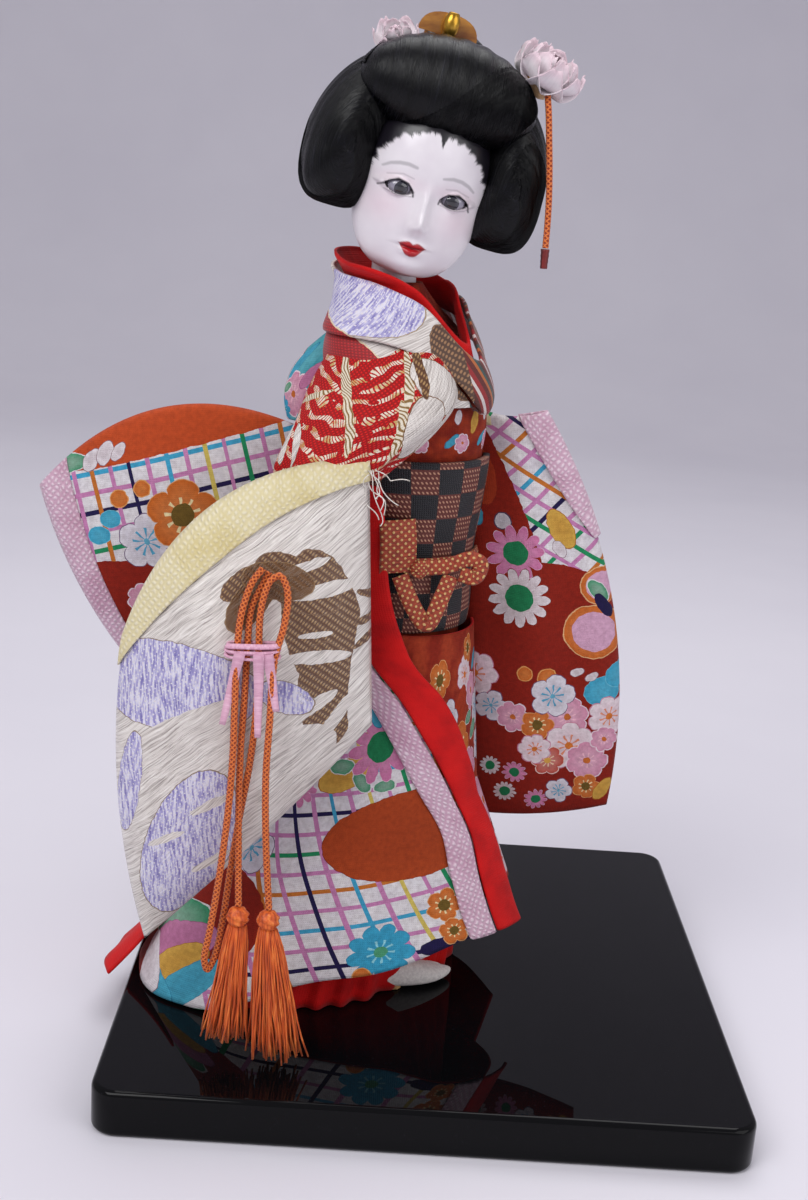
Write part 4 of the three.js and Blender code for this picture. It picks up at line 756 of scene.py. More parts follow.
# Colour, roughness and relief put on the shader; the relief's height is in millimetres
def finish(material, base, rough, relief=None, high=0.1, **fixed):
    tree = material.node_tree
    shader = tree.nodes["Principled BSDF"]
    for name, value in (("Base Color", base), ("Roughness", rough)):
        if isinstance(value, bpy.types.Node):
            tree.links.new(value.outputs[0], shader.inputs[name])
        else:
            shader.inputs[name].default_value = colour(value) if isinstance(value, str) else value
    if relief is not None:
        bump = add_node(tree, "Bump")
        bump.inputs["Strength"].default_value = 1
        bump.inputs["Distance"].default_value = high * MM
        tree.links.new(relief.outputs[0], bump.inputs["Height"])
        tree.links.new(bump.outputs[0], shader.inputs["Normal"])
    for name, value in fixed.items():
        shader.inputs[name.replace("_", " ").title().replace("Ior", "IOR")].default_value = value


# Sine wave of a coordinate with a real length in millimetres, from 0 to 1
def ribs(add, value, length):
    wave = add("Math SINE", add("Math MULTIPLY", value, 2 * math.pi / length))
    return add("Math MULTIPLY_ADD", wave, 0.5, 0.5)


# Over-and-under threads of a plain weave with a real spacing in millimetres
def weave(add, cloth, spacing, turn=0.0):
    x, y, z = add("SeparateXYZ", add("Mapping", cloth, None, (0, 0, turn * DEGREE))).outputs
    return add("Math MULTIPLY", ribs(add, x, spacing), ribs(add, y, spacing))


# The map of a cloth bent to and fro by soft noise, as hand-laid threads and prints are
def wavering(add, cloth, scale, detail, reach):
    drift = add("TexNoise", cloth, None, scale, detail)
    shift = add("VectorMath MULTIPLY", drift.outputs["Color"], reach)
    return add("VectorMath ADD", cloth, shift)


# Uneven colour: soft blotches of noise through a ramp
def mottled(add, cloth, scale, detail, stops, rough=0.5):
    return add("ValToRGB", add("TexNoise", cloth, None, scale, detail, rough), stops=stops)


# Long silk streaks: noise drawn out along one direction, widths and lengths in millimetres
def streaks(add, cloth, width, length, turn, wander=0.0):
    placed = wavering(add, cloth, 0.06, 1, (wander, wander, wander)) if wander else cloth
    turned_cloth = add("Mapping", placed, None, (0, 0, turn * DEGREE))
    drawn = add("Mapping", turned_cloth, None, None, (1 / length, 1 / width, 1))
    return add("TexNoise", drawn, None, 1, 3, 0.6)


# Printed motif: petals round a heart, or a plain shape where it has no petals, laid over what is below
def printed_motif():
    group = bpy.data.node_groups.new("printed motif", "ShaderNodeTree")
    sockets = [("Cloth", "Vector"), ("Below", "Color"), ("Place", "Vector")]
    for name in ("Turn", "Size", "Stretch", "Petals", "Depth", "Heart", "Rim", "Stamens"):
        sockets.append((name, "Float"))
    for name in ("Petal", "Rim", "Heart", "Stamen"):
        sockets.append((name + " colour", "Color"))
    for name, kind in sockets:
        group.interface.new_socket(name, in_out="INPUT", socket_type="NodeSocket" + kind)
    group.interface.new_socket("Colour", in_out="OUTPUT", socket_type="NodeSocketColor")
    add = partial(add_node, group)
    given = add("NodeGroupInput").outputs
    moved = add("VectorMath SUBTRACT", given["Cloth"], given["Place"])
    turned_to = add("VectorRotate", moved, None, (0, 0, 1), given["Turn"], rotation_type="AXIS_ANGLE")
    x, y, z = add("SeparateXYZ", turned_to).outputs
    y = add("Math DIVIDE", y, given["Stretch"])
    flat = add("CombineXYZ", x, y, 0)
    reach = add("VectorMath LENGTH", flat).outputs["Value"]
    angle = add("Math ARCTAN2", y, x)
    half_turns = add("Math MULTIPLY", angle, add("Math MULTIPLY", given["Petals"], 0.5))
    lobe = add("Math ABSOLUTE", add("Math COSINE", half_turns))
    lobe = add("Math POWER", lobe, 0.55)
    loss = add("Math MULTIPLY", given["Depth"], add("Math SUBTRACT", 1, lobe))
    edge = add("Math MULTIPLY", given["Size"], add("Math SUBTRACT", 1, loss))
    inner = add("Math SUBTRACT", edge, given["Rim"])
    petal = add("Math LESS_THAN", reach, edge)
    rim = add("Math GREATER_THAN", reach, inner)
    heart = add("Math LESS_THAN", reach, given["Heart"])
    rays = add("Math ABSOLUTE", add("Math COSINE", add("Math MULTIPLY", angle, 4.5)))
    on_ray = add("Math GREATER_THAN", rays, 0.9)
    near = add("Math LESS_THAN", reach, given["Stamens"])
    stamen = add("Math MULTIPLY", on_ray, near)
    fade = add("Math POWER", add("Math DIVIDE", reach, edge), 2)
    shade = add("Math SUBTRACT", 0.3, add("Math MULTIPLY", fade, 0.3))
    shaded = add("MixRGB", shade, given["Petal colour"], given["Rim colour"])
    rimmed = add("MixRGB", rim, shaded, given["Rim colour"])
    rayed = add("MixRGB", stamen, rimmed, given["Stamen colour"])
    hearted = add("MixRGB", heart, rayed, given["Heart colour"])
    add("NodeGroupOutput", add("MixRGB", petal, given["Below"], hearted))
    return group


motif_group = printed_motif()


# A plain shape, without petals, heart or stamens
def plain(stretch, rim, inside, border):
    return (stretch, 0, 0, 0, 0, rim, inside, border, "#ffffff", "#ffffff")


# Kinds of printed motif: stretch, petals, depth of their notches, heart and stamens as shares of the size,
# rim in millimetres, and the colours of petals, rim, heart and stamens
MOTIFS = {
    "white plum": (1, 5, 0.3, 0.1, 0.5, 0.35, "#dcd9e0", "#6e5a78", "#5fa6c0", "#4f9fc0"),
    "blossom": (1, 5, 0.28, 0.32, 0.5, 0.35, "#c4621e", "#d9a06a", "#6b5420", "#e8d9a8"),
    "pink daisy": (1, 11, 0.5, 0.42, 0, 0.3, "#c9719f", "#d9b8cc", "#1d7a4c", "#ffffff"),
    "white daisy": (1, 13, 0.42, 0.44, 0, 0.35, "#ded6da", "#7a2a1c", "#1d7a4c", "#ffffff"),
    "teal aster": (1, 9, 0.3, 0.2, 0.42, 0.2, "#3aa0c4", "#2b86ac", "#4c9a72", "#8fd0dc"),
    "pink peony": (1, 7, 0.22, 0.16, 0.4, 0.5, "#cf8aa6", "#e6d3dc", "#c46a2e", "#e9b9c6"),
    "white peony": (1, 7, 0.22, 0.16, 0.45, 0.45, "#e2d8dc", "#c98aa0", "#d0742e", "#d98a6a"),
    "red peony": (1, 6, 0.25, 0.2, 0.45, 0.4, "#b8402e", "#e0c8c0", "#d6a24a", "#e8d0b0"),
    "white leaf": plain(0.55, 0.3, "#ded8dc", "#8a6a74"),
    "green leaf": plain(0.5, 0.6, "#1f8a5c", "#d9d8d8"),
    "orange disc": plain(1, 0.45, "#c4621e", "#d99a5a"),
    "teal disc": plain(0.85, 0.25, "#3a9fc0", "#6db8cc"),
    "red ground": plain(1, 0.1, "#8a1e0e", "#7d160d"),
    "orange ground": plain(1, 0.1, "#b8481f", "#b8481f"),
    "orange leaf": plain(0.5, 0.3, "#a8381a", "#8a2a14"),
    "moon": plain(0.48, 0.3, "#a8421a", "#7c2a12"),
    "white ground": plain(1, 0.5, "#d6d1d6", "#4c3a52"),
    "gourd": (0.9, 0, 0, 0.72, 0, 0.5, "#c4621e", "#d9a878", "#cfa2bc", "#ffffff"),
    "navy leaf": plain(0.4, 0.2, "#1c1442", "#1c1442"),
    "gold leaf": plain(0.5, 0.4, "#cfa54a", "#a8641e"),
    "pink leaf": plain(0.45, 0.4, "#c07aa0", "#9a4f7c"),
    "teal leaf": plain(0.4, 0.4, "#4aa6c0", "#2b7a9c"),
}


# Motifs laid over a ground, each a row of kind, place, size and, where it is turned, its turn in degrees
def lay_motifs(add, cloth, ground, rows):
    placed = wavering(add, cloth, 0.35, 1, (1.2, 1.2, 0))
    for kind, x, y, size, *turn in rows:
        stretch, petals, depth, heart, stamens, rim, *colours = MOTIFS[kind]
        ground = add("Group", placed, ground, (x + 0.6, y + 0.6, 0), -sum(turn) * DEGREE, size, stretch,
                     petals, depth, heart * size, rim, stamens * size, *colours, node_tree=motif_group)
    return ground


# Lines of a printed check: a pitch in millimetres, and the colours of its lines in turn
def check_lines(add, cloth, ground, component, turn, shift, pitch, colours, line=1.6):
    turned_cloth = add("Mapping", cloth, (shift, shift, 0), (0, 0, turn * DEGREE))
    place = add("SeparateXYZ", turned_cloth).outputs[component]
    share = add("Math FRACT", add("Math DIVIDE", place, pitch * len(colours)))
    rows = []
    for i, text in enumerate(colours):
        rows.append((i / len(colours), text, 1))
        rows.append(((i + line / pitch) / len(colours), text, 0))
    ramp = add("ValToRGB", share, stops=rows, blend="CONSTANT")
    return add("MixRGB", ramp.outputs["Alpha"], ground, ramp.outputs["Color"])


PINK_LINE = "#c27fae"
TEAL_LINE = "#3f9fc4"
GREEN_LINE = "#1f8a58"
NAVY_LINE = "#1e1646"
ORANGE_LINE = "#c0702c"
YELLOW_LINE = "#cdb85c"
ACROSS_LINES = [ORANGE_LINE, PINK_LINE, NAVY_LINE, PINK_LINE, TEAL_LINE, PINK_LINE, YELLOW_LINE, PINK_LINE,
                GREEN_LINE, PINK_LINE]
ALONG_LINES = [PINK_LINE, GREEN_LINE, PINK_LINE, NAVY_LINE, PINK_LINE, TEAL_LINE, PINK_LINE, ORANGE_LINE]


# White ground under two crossing sets of lines; each pair holds the set across, then the set along
def plaid(add, cloth, turns, shifts, pitches):
    ground = mottled(add, cloth, 0.12, 3, [(0.3, "#d2ced4"), (0.7, "#e2dfe0")])
    ground = check_lines(add, cloth, ground, 1, turns[1], shifts[1], pitches[1], ALONG_LINES)
    return check_lines(add, cloth, ground, 0, turns[0], shifts[0], pitches[0], ACROSS_LINES)


# Printed cotton crepe: matt, finely woven, a little uneven in colour; threads drawn 0.7 mm apart so they show
def printed_cotton(name, pattern):
    material, add, cloth = begin(name)
    printed = pattern(add, cloth)
    uneven = mottled(add, cloth, 0.5, 4, [(0.3, "#dedada"), (0.65, "#ffffff")], 0.65)
    worn = add("MixRGB", 1, printed, uneven, blend_type="MULTIPLY")
    threads = weave(add, cloth, 0.7)
    grain = add("MixRGB", 0.35, threads, add("TexNoise", cloth, None, 1.6, 3))
    finish(material, worn, 0.82, grain, 0.16, sheen_weight=0.03, specular_ior_level=0.2, sheen_roughness=0.5)
    return material


def right_sleeve_pattern(add, cloth):
    ground = plaid(add, cloth, (-16, -16), (46.1, -188.3), (7.2, 7.2))
    return lay_motifs(add, cloth, ground, [
        ("orange ground", -335, 1076, 900), ("red ground", -90, 100, 72),
        ("green leaf", -114, 207, 7, 20), ("white leaf", -106, 209, 5, 60), ("white leaf", -101, 212, 5, 70),
        ("white leaf", -96, 213, 4, 60), ("green leaf", -118, 215, 4, -10),
        ("orange disc", -95, 195.5, 3.6), ("orange disc", -86.5, 200, 3.3),
        ("teal disc", -98, 187.5, 4), ("teal disc", -102, 181, 4.2),
        ("orange leaf", -112, 163, 4), ("white plum", -84, 180, 11, 20), ("blossom", -71, 191, 13.5, 20),
        ("pink peony", -85, 158, 6), ("pink daisy", -60, 174, 10), ("white daisy", -48, 160, 9),
    ])


def left_sleeve_pattern(add, cloth):
    ground = plaid(add, cloth, (-62, -48), (3, 0), (7.2, 7.2))
    return lay_motifs(add, cloth, ground, [
        ("gold leaf", 74, 190, 9, -55), ("white leaf", 74, 182, 4, -50), ("red ground", -210, 63, 300),
        ("red ground", 60, 80, 97), ("orange leaf", 41, 208, 12, -70),
        ("teal leaf", 38, 196, 9, -60), ("white ground", 51, 191, 3.5, 60), ("pink daisy", 57, 179, 11.5, 10),
        ("white daisy", 60, 161, 12.5), ("gourd", 91, 149, 12.5, -10), ("gourd", 92, 168, 8.5),
        ("green leaf", 91, 166, 6, -40), ("navy leaf", 94, 160, 6, -50), ("teal disc", 97, 124, 7.5, 20),
        ("teal disc", 103, 131, 6, 50), ("orange disc", 65, 129.5, 3.2), ("orange disc", 74, 129, 4),
        ("white leaf", 86, 131.5, 3, 20), ("white leaf", 92, 130, 3, 30), ("white peony", 45, 126, 10),
        ("white plum", 53, 113, 7), ("pink peony", 84, 112, 9, 20), ("pink peony", 62, 110, 7, 60),
        ("blossom", 72, 108, 7), ("white plum", 77, 121, 9.5, 10), ("white peony", 101, 113, 9),
        ("white peony", 86, 99, 11, 40), ("red peony", 78, 92, 7), ("pink peony", 94, 93, 9),
        ("white peony", 72, 97, 7, 30), ("pink daisy", 65, 85, 5), ("white daisy", 55, 86, 4.5),
        ("blossom", 95, 81, 6), ("gold leaf", 102, 80, 6, 60), ("white daisy", 62, 75, 5),
        ("pink daisy", 75, 73, 5), ("white plum", 84, 78, 6), ("pink peony", 100, 103, 6),
    ])


def shoulder_pattern(add, cloth):
    ground = mottled(add, cloth, 0.12, 2, [(0.4, "#3f9aa8"), (0.6, "#5aa8b4")])
    return lay_motifs(add, cloth, ground, [
        ("white ground", -34, 246, 9, 30), ("teal leaf", -26, 250, 8, 70), ("pink peony", -22, 238, 9),
        ("teal aster", -30, 232, 5), ("pink leaf", -14, 246, 7, 50), ("white plum", -40, 236, 8),
        ("pink leaf", -38, 252, 8, 60), ("orange leaf", -8, 232, 9, 40), ("pink peony", -36, 226, 9),
        ("green leaf", -28, 240, 4, 20),
    ])


def skirt_pattern(add, cloth):
    ground = plaid(add, cloth, (-28, -12), (4, 0.5), (7.6, 7.4))
    return lay_motifs(add, cloth, ground, [
        ("gold leaf", -12, 96, 12, 30), ("green leaf", -14, 99, 6, 10), ("green leaf", -4, 94, 5.5, -40),
        ("green leaf", 6, 93, 5, 10), ("pink daisy", 1, 108, 14.5), ("teal leaf", -5, 122, 8, -60),
        ("moon", 22, 74.5, 36, 10), ("teal aster", 14, 29, 11),
        ("navy leaf", 34, 31, 8, 14), ("orange disc", 9, 20, 3), ("blossom", 34, 46, 6.5),
        ("blossom", 37, 36, 5, 30), ("red ground", -44, 34, 20), ("white leaf", -70, 25, 17, 32),
        ("green leaf", -57, 26, 17, 32), ("pink leaf", -52, 19, 18, 34), ("gold leaf", -46, 14, 12, 50),
        ("teal leaf", -40, 8, 14, 60), ("red ground", -66, -2, 17), ("teal leaf", -52, 5, 13, -30),
        ("white leaf", -58, 8, 12, -35), ("pink daisy", -30, 88, 8), ("blossom", -60, 60, 13),
        ("white plum", -40, 62, 10, 20), ("pink peony", -90, 40, 16), ("white daisy", -105, 90, 12),
        ("teal aster", -85, 105, 10), ("orange leaf", -120, 60, 24, 10), ("blossom", -150, 100, 14),
        ("pink daisy", -150, 35, 13), ("white plum", -180, 70, 12), ("teal aster", -128, 22, 11),
        ("gold leaf", -165, 55, 14, 40), ("green leaf", -100, 66, 8, 30), ("blossom", -200, 30, 12),
    ])


def under_pattern(add, cloth):
    ground = mottled(add, cloth, 0.1, 2, [(0.4, "#a33a1e"), (0.6, "#8a2412")])
    return lay_motifs(add, cloth, ground, [
        ("white peony", 52, 132, 8), ("pink peony", 62, 124, 8), ("blossom", 56, 142, 6),
        ("teal leaf", 68, 136, 6, 40), ("white plum", 72, 116, 8), ("orange leaf", 48, 120, 9, 60),
        ("pink peony", 78, 130, 8), ("white daisy", 84, 142, 7), ("green leaf", 58, 114, 5, 20),
        ("white peony", 14, 118, 9), ("pink peony", 26, 108, 9), ("white plum", 38, 116, 8),
        ("blossom", 48, 104, 10), ("pink peony", 60, 92, 10), ("white peony", 44, 84, 11, 20),
        ("teal aster", 30, 92, 6), ("white peony", 58, 68, 12), ("pink peony", 74, 76, 10),
        ("green leaf", 66, 108, 6, 30), ("white plum", 76, 100, 8), ("blossom", 30, 132, 8),
        ("white peony", 72, 54, 10), ("pink peony", 44, 60, 10), ("red peony", 86, 64, 9),
        ("white plum", 90, 86, 9), ("pink peony", 100, 108, 11), ("white peony", 112, 76, 11),
        ("blossom", 128, 98, 10), ("teal aster", 118, 56, 9), ("pink peony", -150, 90, 12),
        ("white peony", -120, 70, 12), ("blossom", -90, 100, 11), ("white plum", -60, 76, 10),
        ("pink daisy", 140, 70, 9), ("white plum", 20, 74, 9),
    ])


def bodice_pattern(add, cloth):
    ground = mottled(add, cloth, 0.1, 2, [(0.4, "#9c3416"), (0.6, "#7c1e0e")])
    rows = []
    for i in range(9):
        x = -80 + 18 * i
        rows += [("gold leaf", x, 232 + 5 * (i % 2), 5, 70), ("teal leaf", x + 6, 225, 4, 40),
                 ("blossom", x + 4, 244, 5, 0), ("white leaf", x + 9, 234, 3, 70),
                 ("pink peony", x + 11, 224, 4, 0)]
    return lay_motifs(add, cloth, ground, rows)


# Cover shapes: white where a second weave shows, mid grey on its outline thread, black where it is cut away
COVERS = [("patch", 0.5, 0.5), ("round", 1, 0.5), ("blade", 0.22, 0.45), ("cord", 0.12, 0.35)]
for kind, stretch, rim in COVERS:
    MOTIFS[kind] = plain(stretch, rim, "#ffffff", "#bcbcbc")
for kind, stretch in (("cut patch", 0.5), ("cut blade", 0.2), ("cut round", 1)):
    MOTIFS[kind] = plain(stretch, 0.5, "#000000", "#000000")


def cover(add, cloth, rows):
    return lay_motifs(add, cloth, "#000000", rows)


# A second weave laid where its cover is white, with an outline thread between the two
def inlay(add, mask, below, woven, outline):
    lined = add("MixRGB", add("Math GREATER_THAN", mask, 0.25), below, outline)
    return add("MixRGB", add("Math GREATER_THAN", mask, 0.75), lined, woven)


# Satin floss: loose parallel silk threads, glossy along their length, their colour running from painted shadow to
# painted highlight along the streaks; drawn 0.45 mm wide so they show
def floss(add, cloth, turn, wander, shadow_to_highlight=("#9a918c", "#d2cac4", "#efeae4")):
    silk = streaks(add, cloth, 0.45, 16, turn, wander)
    # Dark, middle and pale stops: painted shadow, the floss's own colour and painted highlight
    return silk, add("ValToRGB", silk, stops=[(0.32, shadow_to_highlight[0]), (0.47, shadow_to_highlight[1]), (0.66, shadow_to_highlight[2])])


# Gilt-paper twill: slanting rows of dull gold floats on brown silk, 1.1 mm apart
def twill(add, cloth, dark, pale):
    x, y, z = add("SeparateXYZ", add("Mapping", cloth, None, (0, 0, 35 * DEGREE))).outputs
    rows = add("Math MULTIPLY", ribs(add, x, 1.1), ribs(add, y, 2.3))
    rough = add("Math MULTIPLY", rows, add("TexNoise", cloth, None, 0.9, 3))
    return rows, add("ValToRGB", rough, stops=[(0.06, dark), (0.32, pale)])


# Lilac weave: upright silk floats with painted highlights in their palest streaks, crossed by pale stitches
def lilac_weave(add, cloth):
    silk = streaks(add, cloth, 0.8, 6, 86, 2)
    stitches = weave(add, cloth, 1.5, 20)
    # Floats run from lilac to a pale silvery painted highlight along their streaks
    floats = add("ValToRGB", silk, stops=[(0.34, "#776fae"), (0.48, "#aaa4d0"), (0.58, "#dedbe8")])
    mask = add("Math GREATER_THAN", add("Math MULTIPLY", stitches, silk), 0.3)
    return add("MixRGB", mask, floats, "#dcd6dc")


# Brocade of the robe's sleeve and body: cream satin floss with inlaid lilac and bronze weaves
def satin_brocade_cloth():
    material, add, cloth = begin("brocade of satin floss")
    silk, cream = floss(add, cloth, -40, 4)
    bronze_cover = cover(add, cloth, [
        ("patch", -15, 164, 27, -76), ("patch", -24, 178, 17, -28), ("patch", -12, 138, 20, -82),
        ("cut blade", 4, 154, 37, 84), ("cut blade", -14, 176, 13, 12), ("cut blade", -22, 184, 9, 20),
        ("cut blade", -16, 152, 12, 2), ("cut blade", -17, 160, 6, 5), ("cut blade", -20, 132, 14, 32),
        ("cut blade", -9, 128, 12, 58), ("cut patch", -28, 114, 22, 25), ("blade", 4, 172, 8, -20),
        ("blade", 4, 165, 8, 12), ("blade", 2, 158, 7, 32), ("patch", -44, 178, 8, 40),
    ])
    rows, bronze = twill(add, cloth, "#5e3f2c", "#b08c62")
    lilac_cover = cover(add, cloth, [
        ("patch", -66, 141, 32, -4), ("cut blade", -60, 128, 22, 28),
        ("cut round", -50, 120, 13), ("patch", -26, 138, 11, -25), ("patch", -58, 82, 31, 72),
        ("cut blade", -50, 98, 9, 30), ("cut blade", -66, 84, 7, 25), ("cut blade", -50, 74, 8, 30),
        ("blade", -80, 104, 20, 84),
    ])
    woven = inlay(add, bronze_cover, cream, bronze, "#7a5a40")
    woven = inlay(add, lilac_cover, woven, lilac_weave(add, cloth), "#8a765e")
    # A fold drawn flat: the brown reverse of the cloth, darkened as the painted shade of the fold
    fold_reverse_and_shade = cover(add, cloth, [("patch", -40, 172, 12, 55), ("patch", -31, 179, 13, -8)])
    woven = inlay(add, fold_reverse_and_shade, woven, "#6b4826", "#8a6a44")
    relief = add("MixRGB", add("Math GREATER_THAN", bronze_cover, 0.75), silk, rows)
    finish(material, woven, add("ValToRGB", silk, stops=[(0.3, "#8a8a8a"), (0.7, "#5a5a5a")]), relief, 0.5,
           sheen_weight=0.2, anisotropic=0.5)
    return material


# Brocade of the collar: lilac weave, cream floss and brown weave, then the stripes of the kimono's neck
def collar_brocade_cloth():
    material, add, cloth = begin("brocade of the collar")
    silk, cream = floss(add, cloth, -24, 3)
    rows, brown = twill(add, cloth, "#4e3324", "#9c7450")
    red = add("ValToRGB", weave(add, cloth, 1), stops=[(0.2, "#8e1016"), (0.7, "#c41e20")])
    lilac = lilac_weave(add, add("Mapping", cloth, None, (0, 0, 0.7)))
    lilac_cover = cover(add, cloth, [("patch", -13, 275, 25, -9)])
    woven = inlay(add, lilac_cover, cream, lilac, "#a08a6a")
    woven = inlay(add, cover(add, cloth, [("patch", 18, 254, 14, 100)]), woven, brown, "#7a5a40")
    woven = inlay(add, cover(add, cloth, [("round", -36, 233, 37)]), woven, red, "#d8c8a8")
    x, y, z = add("SeparateXYZ", cloth).outputs
    beyond = add("Math GREATER_THAN", x, 21.5)
    striped = add("Math FRACT", add("Math DIVIDE", add("Math MULTIPLY_ADD", y, 0.35, x), 9))
    stripes = [(0, "#c9c0bc"), (0.12, "#8e1218"), (0.3, "#5a120c"), (0.5, "#b0602a"), (0.62, "#2c4a48"),
               (0.75, "#4a1a10"), (0.9, "#7a1c12")]
    neck = add("ValToRGB", striped, stops=stripes, blend="CONSTANT")
    woven = add("MixRGB", beyond, woven, neck)
    finish(material, woven, 0.55, silk, 0.3, sheen_weight=0.2, anisotropic=0.4)
    return material


# Red brocade of the upper sleeve: basket weave with cream and gold strokes in rows, and rope-like cords
def red_brocade_cloth():
    material, add, cloth = begin("red basket brocade")
    basket = weave(add, cloth, 1.1, 45)
    red = add("ValToRGB", basket, stops=[(0.1, "#960408"), (0.5, "#cc0a0e"), (0.9, "#e0241e")])
    x, y, z = add("SeparateXYZ", wavering(add, cloth, 0.09, 1, (9, 9, 0))).outputs
    side = add("Math ABSOLUTE", add("Math ADD", x, 7))
    fan = add("Math MULTIPLY_ADD", side, -0.45, y)
    slant = ribs(add, add("Math MULTIPLY_ADD", side, 1.1, y), 1.4)
    near = add("Math GREATER_THAN", add("TexNoise", cloth, None, 0.22, 1), 0.4)
    stroke = add("Math MULTIPLY", add("Math GREATER_THAN", ribs(add, fan, 5.2), 0.68),
                 add("Math GREATER_THAN", slant, 0.3))
    stroke = add("Math MULTIPLY", stroke, near)
    gold = mottled(add, cloth, 0.25, 2, [(0.45, "#e6dac8"), (0.6, "#c9a468")])
    woven = add("MixRGB", stroke, red, gold)
    rope = add("ValToRGB", ribs(add, add("Math MULTIPLY_ADD", y, 1.2, x), 1.7),
               stops=[(0.25, "#8a6a3c"), (0.5, "#e2d8c4")])
    rope_cover = cover(add, cloth, [
        ("cord", -13, 247, 13, -64), ("cord", -5, 231, 12, -60), ("cord", 7.5, 247, 13, -88),
        ("cord", 12, 230, 13, -60), ("cord", -24, 240, 9, 20),
    ])
    woven = inlay(add, rope_cover, woven, rope, "#c9b48a")
    silk, cream = floss(add, cloth, -62, 3)
    satin_cover = cover(add, cloth, [
        ("patch", 21, 246, 15, -30), ("patch", 20, 232, 14, -50), ("patch", 34, 236, 14, 80),
        ("blade", -22, 223, 9, -60), ("blade", -29, 224, 9, -70),
    ])
    woven = inlay(add, satin_cover, woven, cream, "#7a5a3c")
    rows, brown = twill(add, cloth, "#5e3f2c", "#a88458")
    woven = inlay(add, cover(add, cloth, [("blade", 12, 251, 9, -80), ("blade", 31, 252, 12, -60)]), woven,
                  brown, "#6a4c34")
    finish(material, woven, 0.6, add("MixRGB", 0.4, basket, silk), 0.4, sheen_weight=0.03,
           specular_ior_level=0.25)
    return material


# Crepe with a pebbled face: raised dots about 1.9 mm apart in slanting rows, darker between them as painted shade
def crepe(name, pit_shade, face, stain):
    material, add, cloth = begin(name)
    dots = weave(add, wavering(add, cloth, 0.3, 2, (2.4, 2.4, 0)), 1.9, 35)
    # The pits between the dots are painted darker as shade, the dots' tops in the face colour
    tone = add("ValToRGB", dots, stops=[(0, pit_shade), (0.8, face)])
    blotch = mottled(add, cloth, 0.06, 3, [(0.45, "#ffffff"), (0.7, stain)])
    mixed = add("MixRGB", 0.6, tone, blotch, blend_type="MULTIPLY")
    finish(material, mixed, 0.85, dots, 0.35, sheen_weight=0.2, sheen_roughness=0.5)
    return material


# Red cotton: bright dyed plain weave with soft creases
def red_cotton_cloth():
    material, add, cloth = begin("red dyed cotton")
    tone = mottled(add, cloth, 0.08, 4, [(0.3, "#a20508"), (0.5, "#c2090b"), (0.7, "#d0100e")])
    grain = add("MixRGB", 0.5, weave(add, cloth, 0.8), add("TexNoise", cloth, None, 0.5, 3))
    finish(material, tone, 0.7, grain, 0.18, sheen_weight=0.04, specular_ior_level=0.2)
    return material


# Stiff sash of navy and rust checks 9.8 mm wide; the rust checks are woven with slanting pale stitches
def check_sash_cloth():
    material, add, cloth = begin("checked sash brocade")
    board = add("TexChecker", cloth, "#000000", "#ffffff", 0.1025)
    x, y, z = add("SeparateXYZ", cloth).outputs
    stitch_rows = add("Math MULTIPLY", ribs(add, add("Math MULTIPLY_ADD", y, 0.5, x), 1.5),
                      ribs(add, y, 1.9))
    rust = add("ValToRGB", stitch_rows, stops=[(0.35, "#5c2016"), (0.6, "#b8866c")])
    navy = add("ValToRGB", weave(add, cloth, 0.8), stops=[(0.2, "#05060e"), (0.8, "#10121f")])
    tone = add("MixRGB", board.outputs["Fac"], navy, rust)
    relief = add("MixRGB", board.outputs["Fac"], weave(add, cloth, 0.8), stitch_rows)
    finish(material, tone, 0.6, relief, 0.3, sheen_weight=0.1)
    return material


# Cord of the sash: orange silk with woven gold dots 2.1 mm apart in slanting rows
def dotted_cord_cloth():
    material, add, cloth = begin("orange cord with gold dots")
    dots = weave(add, cloth, 2.1, 45)
    mask = add("Math GREATER_THAN", dots, 0.55)
    ground = add("ValToRGB", streaks(add, cloth, 0.5, 4, 0), stops=[(0.35, "#741e08"), (0.6, "#a83c14")])
    tone = add("MixRGB", mask, ground, "#cfa868")
    finish(material, tone, 0.5, dots, 0.3, sheen_weight=0.15)
    return material


# Silk of the tasselled cord: a round braid of four strands, painted dark between them as shade and pale on their
# crowns as highlight
def braid_silk():
    material, add, cloth = begin("braided orange silk")
    x, y, z = add("SeparateXYZ", cloth).outputs
    turns = add("Math MULTIPLY", x, 14)
    lay = add("Math MULTIPLY", y, 2)
    one, other = [ribs(add, add("Math", turns, lay, operation=way), 3.5) for way in ("ADD", "SUBTRACT")]
    crossed = add("Math MAXIMUM", one, other)
    # Dark stop is painted shade in the gaps, pale stop a painted highlight on the strands
    tone = add("ValToRGB", crossed, stops=[(0.2, "#84280a"), (0.55, "#b8440f"), (0.95, "#de7630")])
    finish(material, tone, 0.5, crossed, 0.35, sheen_weight=0.1, sheen_roughness=0.4)
    return material


# Loose silk threads of tassels, bindings and frayed ends: soft, with a tone that runs along them, partly a random tone
# and partly painted highlights where it is palest
def thread_silk(name, dark, middle, pale):
    material, add, place = begin_solid(name)
    drawn = add("Mapping", place, None, None, (900, 900, 60))
    # Dark and middle stops are the threads' uneven tone; the pale stop is a painted highlight
    tone = mottled(add, drawn, 1, 3, [(0.3, dark), (0.5, middle), (0.7, pale)])
    finish(material, tone, 0.5, add("TexNoise", drawn, None, 2, 2), 0.1, sheen_weight=0.08)
    return material


# Soft torn paper: matt and fibrous, paler where it is thin
def paper():
    material, add, cloth = begin("soft pink paper")
    fibre = add("TexNoise", cloth, None, 0.8, 5, 0.7)
    tone = add("ValToRGB", fibre, stops=[(0.3, "#c98aa8"), (0.6, "#e6b8cc"), (0.8, "#f0d4e0")])
    finish(material, tone, 0.85, fibre, 0.25)
    return material


